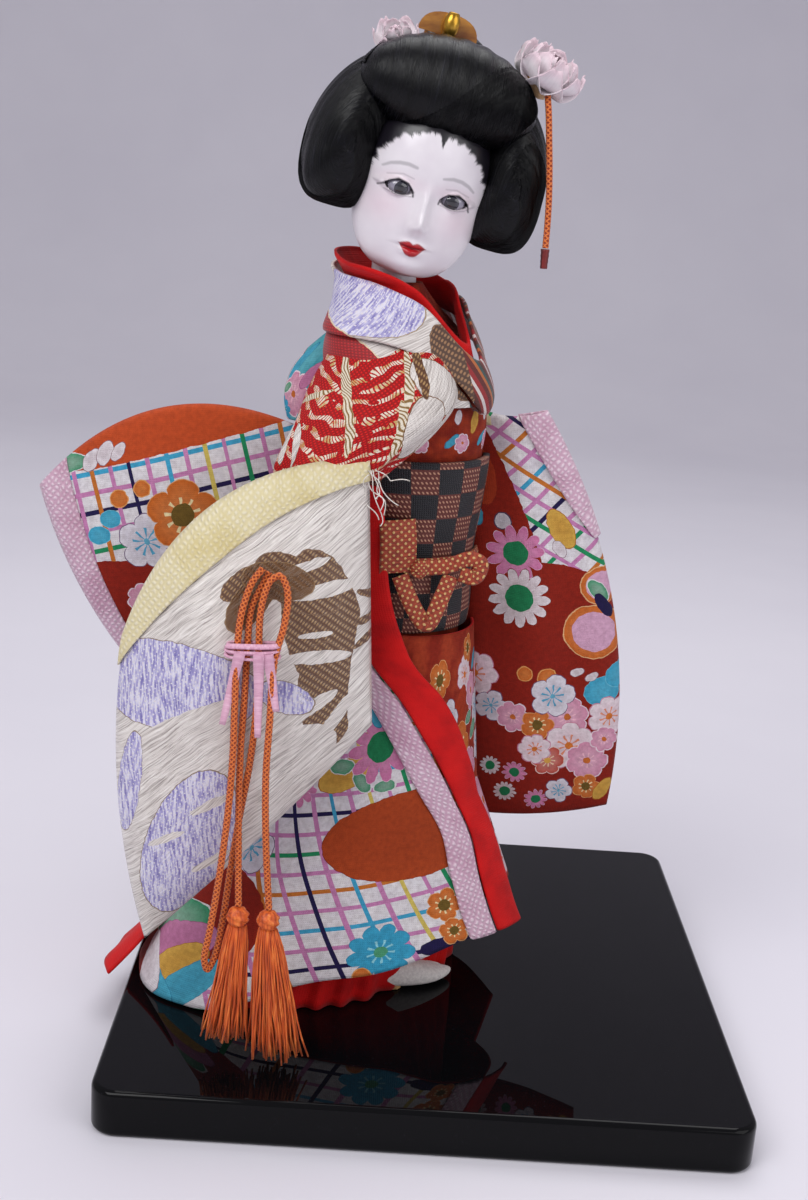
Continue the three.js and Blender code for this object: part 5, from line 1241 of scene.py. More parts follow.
# Shell-lime paint on the head and hands: polished white, with brows, lashes, lips and a soft blush painted on, and the
# lid creases darkened as painted shade
def shell_paint():
    material, add, cloth = begin("shell lime paint")
    painted = add("Attribute", attribute_name="Paint")
    ink_and_crease_shade, lips, blush = add("SeparateColor", painted.outputs["Color"]).outputs[:3]
    uneven = mottled(add, cloth, 0.08, 2, [(0.3, "#ddd6dc"), (0.7, "#e8e3e7")])
    tone = add("MixRGB", add("Math MULTIPLY", blush, 0.5), uneven, "#d79ab0")
    tone = add("MixRGB", lips, tone, "#b2161f")
    # Ink channel: brows, lashes and hairline, and the lid creases darkened as painted shade
    tone = add("MixRGB", ink_and_crease_shade, tone, "#15121a")
    finish(material, tone, 0.3, add("TexNoise", cloth, None, 0.25, 2), 0.06, coat_weight=0.12,
           coat_roughness=0.2)
    return material


# Dressed silk hair: fine black threads combed one way, with a cool sheen painted along the lobes as paler bluish
# streaks
def silk_hair():
    material, add, cloth = begin("combed black silk")
    drawn = add("Mapping", cloth, None, None, (2.6, 0.035, 1))
    threads = add("TexNoise", drawn, None, 1, 4, 0.65)
    locks = add("TexNoise", add("Mapping", cloth, None, None, (0.35, 0.02, 1)), None, 1, 2)
    both = add("MixRGB", 0.5, threads, locks)
    # The palest bluish stop paints highlight streaks onto the black
    tone = add("ValToRGB", both, stops=[(0.42, "#020203"), (0.58, "#07070c"), (0.72, "#1c1c28")])
    finish(material, tone, add("ValToRGB", threads, stops=[(0.3, "#6c6c6c"), (0.7, "#9c9c9c")]), both, 0.6,
           specular_ior_level=0.22)
    return material


# Painted glass eye: dark iris on a polished ball, its whites painted grey as the shade that the lids cast
def glass_eyes():
    material, add, cloth = begin("painted glass eye")
    x, y, z = add("SeparateXYZ", cloth).outputs
    reach = add("VectorMath LENGTH", add("CombineXYZ", x, y, 0)).outputs["Value"]
    # The outermost stop greys the white of the eye as painted shade from the lids
    tone = add("ValToRGB", add("Math DIVIDE", reach, 5),
               stops=[(0, "#07070a"), (0.2, "#14141c"), (0.44, "#2c2c38"), (0.5, "#1a1a20"),
                      (0.53, "#8e8a98")])
    finish(material, tone, 0.08, coat_weight=1, coat_roughness=0.03)
    return material


# Pressed silk petals: matt white, a little pink at the rim, with fine veins
def silk_petal():
    material, add, cloth = begin("pressed silk petal")
    x, y, z = add("SeparateXYZ", cloth).outputs
    veins = add("TexNoise", add("Mapping", cloth, None, None, (9, 1.2, 1)), None, 1, 2)
    white = add("ValToRGB", veins, stops=[(0.3, "#e6dfe4"), (0.6, "#f2edf0")])
    edge = add("ValToRGB", y, stops=[(0.05, "#e2a8bc"), (0.3, "#f0e8ea"), (0.8, "#f2ecee"),
                                     (0.98, "#ecc6d2")])
    finish(material, add("MixRGB", 0.6, white, edge, blend_type="MULTIPLY"), 0.6, veins, 0.1,
           sheen_weight=0.3)
    return material


# Lacquer: deep glossy black with faint wiping marks and a little dust
def lacquer():
    material, add, place = begin_solid("black lacquer")
    marks = add("TexNoise", add("Mapping", place, None, (0, 0, 0.5), (60, 14, 60)), None, 1, 4, 0.6)
    dust = add("TexVoronoi", place, None, 420)
    specks = add("ValToRGB", dust.outputs["Distance"], stops=[(0.035, "#34323a"), (0.06, "#08080a")])
    wiped = add("ValToRGB", marks, stops=[(0.35, "#161616"), (0.7, "#2e2e2e")])
    finish(material, specks, wiped, add("TexNoise", place, None, 30, 1), 0.04, specular_ior_level=0.14)
    return material


# A plain finish with grain: noise, drawn out along z where the grain is long, moves its colour and relief
def grained(name, dark, pale, rough, scale, high, **fixed):
    material, add, place = begin_solid(name)
    grain = add("TexNoise", add("Mapping", place, None, None, scale), None, 1, 4, 0.6)
    finish(material, add("ValToRGB", grain, stops=[(0.35, dark), (0.65, pale)]), rough, grain, high, **fixed)
    return material


black_lacquer = lacquer()
pink_crepe = crepe("pebbled pink crepe", "#c29cb0", "#e2cdd8", "#dcbccb")
cream_crepe = crepe("pebbled cream crepe", "#d3c79c", "#e4dbbe", "#e6daa6")
red_cotton = red_cotton_cloth()
satin_brocade = satin_brocade_cloth()
collar_brocade = collar_brocade_cloth()
red_brocade = red_brocade_cloth()
sleeve_print_right = printed_cotton("printed cotton of the right sleeve", right_sleeve_pattern)
sleeve_print_left = printed_cotton("printed cotton of the left sleeve", left_sleeve_pattern)
shoulder_print = printed_cotton("printed cotton of the shoulder", shoulder_pattern)
skirt_print = printed_cotton("printed cotton of the robe's skirt", skirt_pattern)
under_print = printed_cotton("printed cotton of the kimono's skirt", under_pattern)
bodice_print = printed_cotton("printed cotton of the kimono's body", bodice_pattern)
check_sash = check_sash_cloth()
dotted_cord = dotted_cord_cloth()
braided_silk = braid_silk()
tassel_silk = thread_silk("orange tassel silk", "#a43a08", "#d85e18", "#f0883a")
loose_silk = thread_silk("loose cream silk", "#b8b0a6", "#dcd6cd", "#f0ece6")
dark_silk = thread_silk("dark red silk binding", "#3c0808", "#6b1210", "#8a221a")
pink_paper = paper()
shell_white = shell_paint()
black_silk = silk_hair()
eye_glass = glass_eyes()
petal_silk = silk_petal()
gilt = grained("gilt brass", "#a87a22", "#d8ac4a", 0.28, (300, 300, 300), 0.02, metallic=1)
white_cotton = grained("white cotton sock", "#cfc8c6", "#e8e2de", 0.85, (900, 900, 900), 0.12,
                       sheen_weight=0.2)
bare_wood = grained("bare softwood dowel", "#8a6238", "#c29a66", 0.7, (500, 500, 40), 0.1)
bright_steel = grained("zinc-plated steel screw", "#7c7c80", "#aeaeb2", 0.35, (700, 700, 90), 0.02,
                       metallic=1)
straw_paper = grained("paper-wrapped straw", "#a89a74", "#d2c6a6", 0.95, (260, 260, 60), 0.4)
cap_silk = grained("beige silk cap", "#b08a5c", "#d8b488", 0.7, (800, 800, 300), 0.12)
amber = grained("moulded amber comb", "#7a3c10", "#c08434", 0.22, (60, 60, 160), 0.03, coat_weight=0.5)
pale_floor = grained("pale paper backdrop", "#d8d5de", "#dedbe3", 0.9, (2, 2, 2), 0.01)


# Pieces

# Lacquered board with rounded corners and eased edges
def board():
    bm = bmesh.new()
    bmesh.ops.create_cube(bm, size=1)
    bmesh.ops.scale(bm, vec=(BOARD_WIDE, BOARD_DEEP, BOARD_HIGH), verts=bm.verts)
    bmesh.ops.translate(bm, vec=(0, 0, BOARD_HIGH / 2), verts=bm.verts)

    def climbs(edge):
        return abs(edge.verts[0].co.z - edge.verts[1].co.z) > 1

    upright = [edge for edge in bm.edges if climbs(edge)]
    bmesh.ops.bevel(bm, geom=upright, offset=BOARD_CORNER, affect="EDGES", segments=10, profile=0.5,
                    material=-1)
    rims = [edge for edge in bm.edges if edge.calc_face_angle(0) > 1 and not climbs(edge)]
    bmesh.ops.bevel(bm, geom=rims, offset=BOARD_EDGE, affect="EDGES", segments=4, profile=0.5, material=-1)
    made = piece("lacquered_board", bm, [black_lacquer], "lacquer", replaced=["base_board"],
                 pose=Matrix.Scale(MM, 4))
    made.data.polygons.foreach_set("use_smooth", [face.area < 0.0005 for face in made.data.polygons])


# A split-toe sock: rounded toes with a cleft, a flat sole and a padded instep
def sock(name, node, x, y):
    def shape(unit):
        fore = -unit.y
        half = SOCK_HALF[0] * (0.82 + 0.18 * math.sin(2.4 * fore + 0.6))
        cleft = 1.6 * math.exp(-((unit.x - 0.22) / 0.16) ** 2) * smooth((fore - 0.5) / 0.4)
        high = mix(*SOCK_HIGH, smooth((fore + 0.9) / 1.7))
        z = 0.45 * high + 0.55 * high * unit.z if unit.z > 0 else 0.45 * high * (1 - abs(unit.z) ** 0.7)
        return Vector((half * unit.x, -fore * SOCK_HALF[1] + cleft * 1.4, CLEARANCE + max(z - cleft, 0)))

    bm = ball(48, 32, shape, lambda unit, middle: (unit.x * SOCK_HALF[0], unit.y * SOCK_HALF[1]))
    settle(bm, SOCK_TURN * DEGREE, (x, y, 0))
    soften(piece(name, bm, [white_cotton], "white_cloth", replaced=[node]), 1)


# Red petticoat in soft pleats, tucked in where the foot shows
def petticoat():
    def at(s, t):
        angle = (1 - 2 * s) * -math.pi
        height = mix(CLEARANCE, HIP - 1, t)
        fade = (1 - t) ** 1.5
        tuck = FOOT_TUCK[0] * fade * bulge(angle, FOOT_TUCK[1])
        inset = mix(*PETTICOAT_INSET, min(height / KNEE, 1)) + tuck
        pleat = PLEAT_DEEP * fade * (math.sin(PLEATS * angle + 2 * math.sin(5 * angle)) + 0.5)
        return skirt_point(angle, height, inset + pleat)

    bm = grid(260, 30, at, lambda s, t, co: (s * 2 * math.pi * UNROLLED_RADIUS, co.z), closed=True)
    made = piece("petticoat_pleats", bm, [red_cotton], "red_cloth", replaced=["petticoat"])
    thicken(made, 0.8)
    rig.sheet(made, flat=(0.34, 0.108), held="hung", rests_on=["torso_core"])


# Printed kimono skirt under the robe
def kimono_skirt():
    def at(s, t):
        angle = (1 - 2 * s) * -math.pi
        height = mix(KIMONO_HEM, SASH_BOTTOM - CLEARANCE, t)
        wave = 0.7 * (1 - t) * math.sin(11 * angle)
        return skirt_point(angle, height, SKIRT_GAP + 0.3 + wave)

    bm = grid(200, 40, at, lambda s, t, co: ((2 * s - 1) * math.pi * UNROLLED_RADIUS, co.z), closed=True)
    made = piece("kimono_skirt_print", bm, [under_print, red_cotton], "print", replaced=["kimono_skirt"])
    thicken(made, 1.0, 1)
    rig.sheet(made, flat=(0.28, 0.108), held="hung", rests_on=["torso_core"])


# Direction and height of a place on the robe's skirt, between two edges that may move with the height
def skirt_place(s, t, start, end, top):
    knee_angle = mix(start(KNEE), end(KNEE), s)
    level = mix(hem_height(knee_angle), top, t)
    angle = mix(start(level), end(level), s)
    return angle, mix(hem_height(angle), top, t)


# Printed robe skirt, open in front, with its red lining inside
def robe_skirt():
    def place(s, t):
        return skirt_place(s, t, lambda level: ROBE_BACK * DEGREE, robe_edge, SASH_BOTTOM - CLEARANCE)

    def at(s, t):
        angle, height = place(s, t)
        fall = 1 - t
        fold_reverse_and_shade = SKIRT_FOLD_DEEP * fall * math.sin(math.pi * SKIRT_FOLDS * s) ** 2 * min(3 - 3 * s, 1)
        point = skirt_point(angle, height, -SKIRT_CLOTH - fold_reverse_and_shade)
        return skirt_point(angle, height, -SKIRT_CLOTH - fold_reverse_and_shade - crumple(point, 22, 0.9) * min(4 * fall, 1))

    def chart(s, t, co):
        angle, height = place(s, t)
        return (angle * UNROLLED_RADIUS, height)

    bm = grid(300, 80, at, chart)
    made = piece("robe_skirt_print", bm, [skirt_print, red_cotton], "print", replaced=["robe_skirt"])
    thicken(made, SKIRT_CLOTH - 0.3, 1)
    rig.sheet(made, flat=(0.27, 0.15), held="hung", rests_on=["kimono_skirt"])


# A band folded out along the robe's front edge, between two distances past that edge
def edge_band(name, node, start, end, material, slot, columns):
    def past(distance):
        return lambda level: robe_edge(level) + distance / skirt_reach(min(level, SASH_BOTTOM))

    def at(s, t):
        angle, height = skirt_place(s, t, past(start), past(end), EDGE_TOP)
        swell = 1.1 * (1 - (2 * s - 1) ** 4) ** 0.5
        lift = SKIRT_CLOTH + SKIRT_GAP + swell
        point = panel_point(angle, height, lift)
        return panel_point(angle, height, lift + crumple(point, 14, 0.5))

    bm = grid(columns, 150, at, lambda s, t, co: (mix(start, end, s), co.z))
    made = piece(name, bm, [material], slot, replaced=[node])
    thicken(made, 1.0)
    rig.sheet(made, flat=((end - start) * MM, 0.19), held="hung", rests_on=["robe_skirt"])


# Radius of the skirt beside the robe's edge, to turn a width into an angle
def skirt_reach(height):
    middle = Vector((mix(SKIRT_SHIFT[0], WAIST_SWAY[0], clamp(height / SASH_BOTTOM)),
                     mix(SKIRT_SHIFT[1], WAIST_SWAY[1], clamp(height / SASH_BOTTOM)), height))
    return (skirt_point(0.6, height, 0) - middle).length


# Red lining of the train, turned out at the left of the hem
def train_lining():
    def at(s, t):
        angle = mix(*TRAIN_FOLD, s) * DEGREE
        height = mix(CLEARANCE, TRAIN_FOLD_HIGH, t)
        turned = SKIRT_CLOTH + SKIRT_FOLD_DEEP + SKIRT_GAP + TRAIN_FOLD_OUT * (1 - t) ** 2 + FACING_CLOTH
        wave = 0.8 * (1 - t) * math.sin(16 * s + 1)
        return skirt_point(angle, height, -turned - wave)

    bm = grid(40, 30, at, lambda s, t, co: (s * 50, co.z))
    made = piece("train_lining_fold", bm, [red_cotton], "red_cloth", replaced=["train_lining"])
    thicken(made, 1.0)
    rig.sheet(made, flat=(0.06, 0.038), held="hung", rests_on=["robe_skirt"])


# A cloth wall round the torso between two heights given by direction, from one direction to another
def torso_wall(name, node, start, end, low, high, lift, columns, rows, material, slot, flat):
    def at(s, t):
        angle = mix(start, end, s)
        height = mix(low(angle), high(angle), t)
        point = torso_point(angle, height, lift(angle, t))
        return torso_point(angle, height, lift(angle, t) + crumple(point, 12, 0.5))

    full = end - start > 6.2
    bm = grid(columns, rows, at, lambda s, t, co: (mix(start, end, s) * UNROLLED_TORSO, co.z), closed=full)
    made = piece(name, bm, [material], slot, replaced=[node])
    thicken(made, TORSO_CLOTH)
    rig.sheet(made, flat=flat, held="stretched", rests_on=["torso_core"])


# How far a collar stands off the torso from its lower to its upper edge, rounded between them
def collar_swell(t):
    return COLLAR_STAND * t ** 1.5 + 0.9 * (1 - (2 * t - 1) ** 4) ** 0.5


def torso_cloths():
    back, round_end = FRONT - math.pi, FRONT + math.pi

    def robe_top(angle):
        return collar_top(angle) - ROBE_COLLAR_DROP

    def inner_out(angle, t):
        return INNER_COLLAR_OUT + collar_swell(t) + COLLAR_LEAN * near_cheek(angle) * t ** 4

    torso_wall("kimono_bodice_print", "kimono_bodice", back, round_end, lambda a: SASH_BOTTOM - 8,
               lambda a: NECK_BASE, lambda a, t: 0, 160, 60, bodice_print, "print", (0.18, 0.139))
    torso_wall("inner_collar_fold", "inner_collar", back, round_end,
               lambda a: collar_top(a) - INNER_COLLAR_WIDE, collar_top, inner_out, 160, 14, red_cotton,
               "red_cloth", (0.13, 0.016))
    torso_wall("robe_collar_band", "robe_collar", back, round_end, lambda a: robe_top(a) - ROBE_COLLAR_WIDE,
               robe_top, lambda a, t: ROBE_COLLAR_OUT + collar_swell(t), 160, 18, collar_brocade, "brocade",
               (0.17, 0.024))
    torso_wall("robe_bodice_satin", "robe_bodice", FRONT - 150 * DEGREE, FRONT + 12 * DEGREE,
               lambda a: SASH_TOP + 4 + 17 * smooth((a + 0.35) / 0.9),
               lambda a: robe_top(a) - ROBE_COLLAR_WIDE, lambda a, t: ROBE_BODICE_OUT, 90, 24, collar_brocade,
               "brocade", (0.085, 0.045))


# Sash: a stiff checked band with soft sideways creases
def sash():
    def at(s, t):
        angle = mix(-math.pi, math.pi, s)
        height = mix(SASH_BOTTOM, SASH_TOP, t)
        crease = 0.5 * math.sin(9 * t + 1.6 * math.sin(angle)) * math.sin(math.pi * t)
        rim = 0.8 * (1 - abs(2 * t - 1) ** 8)
        return torso_point(angle, height, SASH_CLOTH - 0.5 + crease + rim)

    bm = grid(150, 50, at, lambda s, t, co: ((2 * s - 1) * math.pi * UNROLLED_SASH, co.z), closed=True)
    made = piece("sash_check", bm, [check_sash], "sash", replaced=["sash_band"])
    thicken(made, 2.4)
    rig.sheet(made, flat=(0.18, 0.067), held="stretched", rests_on=["torso_core"])


# Pad bow of the sash at the back, with its drum folds
def sash_bow():
    away = FRONT + math.pi
    height = (SASH_BOTTOM + SASH_TOP) / 2 + 4
    rim = torso_radius(away, height) + CLEARANCE + SASH_CLOTH
    half, deep, high = SASH_BOW_HALF

    def shape(unit):
        power = 0.75
        x = math.copysign(abs(unit.x) ** power, unit.x)
        z = math.copysign(abs(unit.z) ** power, unit.z)
        fold_reverse_and_shade = 0.9 * math.cos(5 * z) * (1 - z * z)
        return Vector((half * x, -deep * unit.y + fold_reverse_and_shade * (1 if unit.y < 0 else 0), high * z))

    bm = ball(64, 48, shape, lambda unit, middle: (unit.x * half, unit.z * high), "Y")
    settle(bm, away, around(torso_middle(height), away, rim + deep + 0.5, height))
    made = piece("sash_bow_pad", bm, [check_sash], "sash", replaced=["sash_bow"])
    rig.padded(made, fill=0.7)


# Flat round cord tied over the sash
def cord_sash():
    def at(s, t):
        angle = mix(-math.pi, math.pi, s)
        around_cord = 2 * math.pi * t
        height = CORD_SASH_LEVEL + CORD_SASH_WIDE / 2 * (1 - math.cos(around_cord))
        rib = 0.12 * math.sin(150 * angle)
        return torso_point(angle, height, SASH_CLOTH + 0.8 + 1.2 * math.sin(around_cord) + rib)

    bm = grid(360, 16, at, lambda s, t, co: ((2 * s - 1) * math.pi * UNROLLED_CORD, t * 14), closed=True)
    piece("cord_sash_band", bm, [dotted_cord], "cord_sash", replaced=["cord_sash"])


# A flat cord loop: a band that follows a line of points and faces outwards
def ribbon(bm, points, wide, out):
    step = 0.7
    path = smooth_path(points, step)
    last = len(path) - 1

    def at(s, t):
        i = round(t * last)
        way = (path[min(i + 1, last)] - path[max(i - 1, 0)]).normalized()
        across = way.cross(out).normalized()
        return path[i] + across * ((s - 0.5) * wide) + out * (0.5 * (1 - (2 * s - 1) ** 2))

    lay_grid(bm, 8, last, at, lambda s, t, co: (s * wide, t * last * step))


# Bow of the cord sash: a knot, two loops and an end
def cord_sash_bow():
    height = CORD_SASH_LEVEL + CORD_SASH_WIDE / 2
    angle = FRONT - 42 * DEGREE
    rim = torso_radius(angle, height) + SASH_CLOTH + 2.6
    middle = around(torso_middle(height), angle, rim, height)
    bm = bmesh.new()
    out = Vector((0, -1, 0))
    loops = [
        (14, [(-11, -1.2, -2), (-11.5, -2.8, 5), (-12, -3.2, 12), (-12.5, -1.6, 18.5)]),
        (6.5, [(-10, -1.6, -3), (-6, -2.8, -12), (-1, -3.4, -20), (2, -3.4, -21.5), (5, -3, -15),
               (10, -1.4, -3)]),
        (6, [(-4, -1.8, 0), (8, -2.4, 1), (16, -3, 4), (21, -3, 2), (19, -3.4, -3), (13, -2.4, -2)]),
    ]
    for wide, points in loops:
        ribbon(bm, points, wide, out)
    settle(bm, angle, middle)
    made = piece("cord_sash_loops", bm, [dotted_cord], "cord_sash", replaced=["cord_sash_bow"])
    thicken(made, 1.1)

    def knotted(unit):
        wound = 1 + 0.05 * math.sin(14 * unit.z + 6 * unit.x)
        return Vector((3.4 * unit.x - 3, 1.8 * unit.y - 2.4, 3.6 * unit.z - 0.5)) * wound

    knot = ball(28, 20, knotted, lambda unit, part: (unit.x * 5, unit.z * 5), "Y")
    settle(knot, angle, middle)
    piece("cord_sash_knot", knot, [dotted_cord], "cord_sash")


SLEEVE_SLOTS = {"robe_sleeve": "brocade", "kimono_sleeve_right": "print", "kimono_sleeve_left": "print"}


# A sleeve hung as a flat bag, front and back meeting at its borders
# Its map is the sleeve laid flat: millimetres right and up
def sleeve(name, node, surface, columns, rows, material, flat, arm):
    def at(s, t):
        u = 2 * s if s <= 0.5 else 2 - 2 * s
        v = 1 - t
        on_border = min(u, 1 - u, v, 1 - v) < 1e-4
        side = 0 if on_border else (1 if s < 0.5 else -1)
        point = surface(u, v, side)
        point.y -= crumple(point, 17, 0.6) * (0 if on_border else 1)
        return point

    bm = grid(2 * columns, rows, at, lambda s, t, co: (co.x, co.z), closed=True)
    made = piece(name, bm, [material], SLEEVE_SLOTS[node], replaced=[node])
    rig.sheet(made, flat=flat, held="hung", rests_on=[arm])


# A facing turned over a sleeve's border, from one place on its front round to the same place on its back
# The border lies where the reach is 1; to_uv says which way that is
def facing(name, node, sleeve_node, surface, to_uv, depth, columns, rows, material, slot, flat):
    def at(s, t):
        side = 1 if s < 0.5 else -1
        reach = 1 - abs(1 - 2 * s) * depth(t)
        roll = smooth(abs(1 - 2 * s) * 14)
        u, v = to_uv(reach + 0.012 * (1 - roll), t)
        swell = 0.5 + 0.5 * math.sin(math.pi * min(abs(1 - 2 * s) * 1.02, 1)) ** 0.6
        point = surface(u, v, side * roll, swell * roll)
        point.y -= side * crumple(point, 9, 0.4) * roll
        return point

    bm = grid(columns, rows, at, lambda s, t, co: (co.x, co.z))
    made = piece(name, bm, [material], slot, replaced=[node])
    thicken(made, 0.7).modifiers["cloth"].offset = 1
    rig.sheet(made, flat=flat, held="folded", rests_on=[sleeve_node])


def sleeves():
    sleeve("robe_sleeve_satin", "robe_sleeve", robe_sleeve_at, 110, 120, satin_brocade, (0.12, 0.11),
           "arm_wire_right")
    drop = ROBE_SLEEVE["corners"][1][2] - ROBE_SLEEVE["corners"][2][2]
    facing("robe_sleeve_crepe", "robe_sleeve_facing", "robe_sleeve", robe_sleeve_at,
           lambda reach, t: (t, 1 - reach), lambda t: along(ROBE_FACING, t) / drop, 40, 110, cream_crepe,
           "cream_crepe", (0.026, 0.13))
    sleeve("right_sleeve_print", "kimono_sleeve_right", right_sleeve_at, 100, 70, sleeve_print_right,
           (0.09, 0.085), "arm_wire_right")
    wide = RIGHT_SLEEVE["corners"][0][0] - RIGHT_SLEEVE["corners"][1][0]
    facing("right_sleeve_crepe", "sleeve_facing_right", "kimono_sleeve_right", right_sleeve_at,
           lambda reach, t: (reach, 1 - t), lambda t: SLEEVE_FACING / wide, 24, 90, pink_crepe, "pink_crepe",
           (0.022, 0.075))
    sleeve("left_sleeve_print", "kimono_sleeve_left", left_sleeve_at, 70, 130, sleeve_print_left,
           (0.068, 0.17), "arm_wire_left")
    wide = LEFT_SLEEVE["corners"][2][0] - LEFT_SLEEVE["corners"][3][0]
    facing("left_sleeve_crepe", "sleeve_facing_left", "kimono_sleeve_left", left_sleeve_at,
           lambda reach, t: (reach, 0.31 * (1 - t)), lambda t: (1 + 16 * t ** 0.8) / wide, 24, 90, pink_crepe,
           "pink_crepe", (0.02, 0.053))


# Loose ends of the sleeve's satin floss, frayed out beside its seam
def frayed_floss():
    corner = Vector(ROBE_SLEEVE["corners"][0]) + Vector((-3, -3.5, -2))
    bm = bmesh.new()
    for i in range(FRAYED_ENDS):
        aside, drop = 6 + 5 * math.sin(2.4 * i), 12 + 8 * math.sin(1.7 * i + 1)
        line = []
        for k in range(19):
            t = k / 18
            curl = Vector((math.sin(8 * t + 2 * i), -0.4 * math.cos(6 * t + i), math.cos(7 * t + i)))
            line.append(corner + Vector((aside * t + 0.9 * i, -1.2 * t, -drop * t)) + curl * 1.7 * t)
        lay_tube(bm, line, 5, FRAYED_THICK / 2)
    close_tubes(bm, 5)
    piece("frayed_floss", bm, [loose_silk], "brocade")


# A puffed sleeve head through stations of height, middle, half width and half depth
def puff(name, node, stations, columns, rows, material, slot, gathers):
    low, high = stations[-1][0], stations[0][0]
    lines = [[(row[0], row[i]) for row in reversed(stations)] for i in range(1, 5)]

    def shape(unit):
        height = mix(low, high, (unit.z + 1) / 2)
        x, y, wide, deep = [along(line, height) for line in lines]
        flat = max(1 - unit.z * unit.z, 0) ** 0.5
        angle = math.atan2(unit.x, -unit.y)
        end = smooth(min(1 - abs(unit.z), 0.12) / 0.12)
        gather = gathers * (1 - smooth((unit.z + 1) / 1.1)) * math.sin(9 * angle + 1)
        reach = end + (flat - end) * 0.2 + gather / 20
        point = Vector((x + wide * math.sin(angle) * reach, y - deep * math.cos(angle) * reach, height))
        return point + Vector((0, -1, 0)) * crumple(point, 13, 1.2)

    def chart(unit, middle):
        height = mix(low, high, (unit.z + 1) / 2)
        angle = math.atan2(unit.x, -unit.y)
        if middle.y > 0 and abs(middle.x) < 0.2 and unit.x * middle.x < 0:
            angle += math.copysign(2 * math.pi, middle.x)
        return (angle * 22, height)

    bm = ball(columns, rows, shape, chart)
    return piece(name, bm, [material], slot, replaced=[node])


def shoulders():
    made = puff("upper_sleeve_brocade", "robe_upper_sleeve", UPPER_SLEEVE, 120, 90, red_brocade,
                "red_brocade", 1.2)
    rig.sheet(made, flat=(0.075, 0.058), held="gathered", rests_on=["arm_wire_right"])
    made = puff("right_shoulder_print", "kimono_shoulder_right", RIGHT_SHOULDER, 80, 60, shoulder_print,
                "print", 0.8)
    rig.sheet(made, flat=(0.05, 0.042), held="gathered", rests_on=["arm_wire_right"])


# Braided relief on a round cord: two sets of strands cross each other
def braid(angle, place, lay, strands):
    one = abs(math.cos(strands * (angle / 2 + math.pi * place / lay)))
    other = abs(math.cos(strands * (angle / 2 - math.pi * place / lay)))
    return max(one, other)


# Tasselled cord: its routes start at the stitch, lie on the sleeve's swell and hang below it
stitch = robe_sleeve_at(*CORD_STITCH, 1)


def route(points):
    return [stitch + Vector((x, y + along(CORD_LAY, z), z)) for x, y, z in points]


# A cord's line in the world, thinned out, and its length, both in metres
def measured(path):
    line = [tuple(doll_pose @ point) for point in path[:-1:6] + path[-1:]]
    return line, sum((b - a).length for a, b in zip(path, path[1:])) * MM


def tassel_cord(name, node, points, extras):
    path = smooth_path(route(points), CORD_STEP)
    bm = tube(path, 16, lambda angle, place, total: CORD_WIDE / 2 * (0.8 + 0.2 * braid(angle, place, 7, 4)))
    made = piece(name, bm, [braided_silk], "orange_cord", body="tassel", replaced=[node])
    line, length = measured(path)
    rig.cord(made, exit=line[0], length=length, diameter=CORD_WIDE * MM, far_end="fitting", stiffness="limp",
            lay="hanging", path=line, with_pieces=extras)


# A tassel: a wound head and a skirt of hanging threads that leans to one side
def tassel(side, points, length, radius, lean):
    end = route(points)[-1]
    half = TASSEL_HEAD / 2

    def head_shape(unit):
        turn = math.atan2(unit.x, -unit.y)
        wound = 1 + 0.07 * math.sin(9 * unit.z + 3 * turn) + 0.02 * math.sin(40 * unit.z)
        return Vector((half * unit.x * wound, half * 0.9 * unit.y * wound, half * unit.z))

    bm = ball(32, 48, head_shape, lambda unit, middle: (math.atan2(unit.x, -unit.y) * half, unit.z * half))
    bmesh.ops.translate(bm, vec=end + Vector((0, 0, -half - CLEARANCE)), verts=bm.verts)
    piece(f"tassel_knot_{side}", bm, [tassel_silk], "orange_cord", body="tassel",
          replaced=[f"tassel_head_{side}"])

    top = end.z - TASSEL_HEAD + 0.4
    threads = bmesh.new()
    for i in range(TASSEL_THREADS):
        share = ((i + 0.5) / TASSEL_THREADS) ** 0.5
        angle = i * GOLDEN_ANGLE
        loose = Vector([noise.noise(Vector((i * 0.37, points[-1][0], part))) for part in (1.5, 11.5, 21.5)])
        line = []
        for k in range(8):
            t = k / 7
            reach = share * (TASSEL_TOP + (radius - TASSEL_TOP) * t ** 0.7)
            wander = loose * (4.2 * t * t)
            kink = 0.5 * t * math.sin(9 * t + i)
            line.append(Vector((end.x + lean * t + reach * math.cos(angle) + wander.x + kink,
                                end.y + 0.65 * (reach * math.sin(angle)) + wander.y,
                                top - (length - TASSEL_HEAD) * t * (1 - 0.22 * abs(loose.z)))))
        lay_tube(threads, line, 4, TASSEL_THREAD / 2)
    close_tubes(threads, 4)
    piece(f"tassel_threads_{side}", threads, [tassel_silk], "orange_cord", body="tassel",
          replaced=[f"tassel_skirt_{side}"])


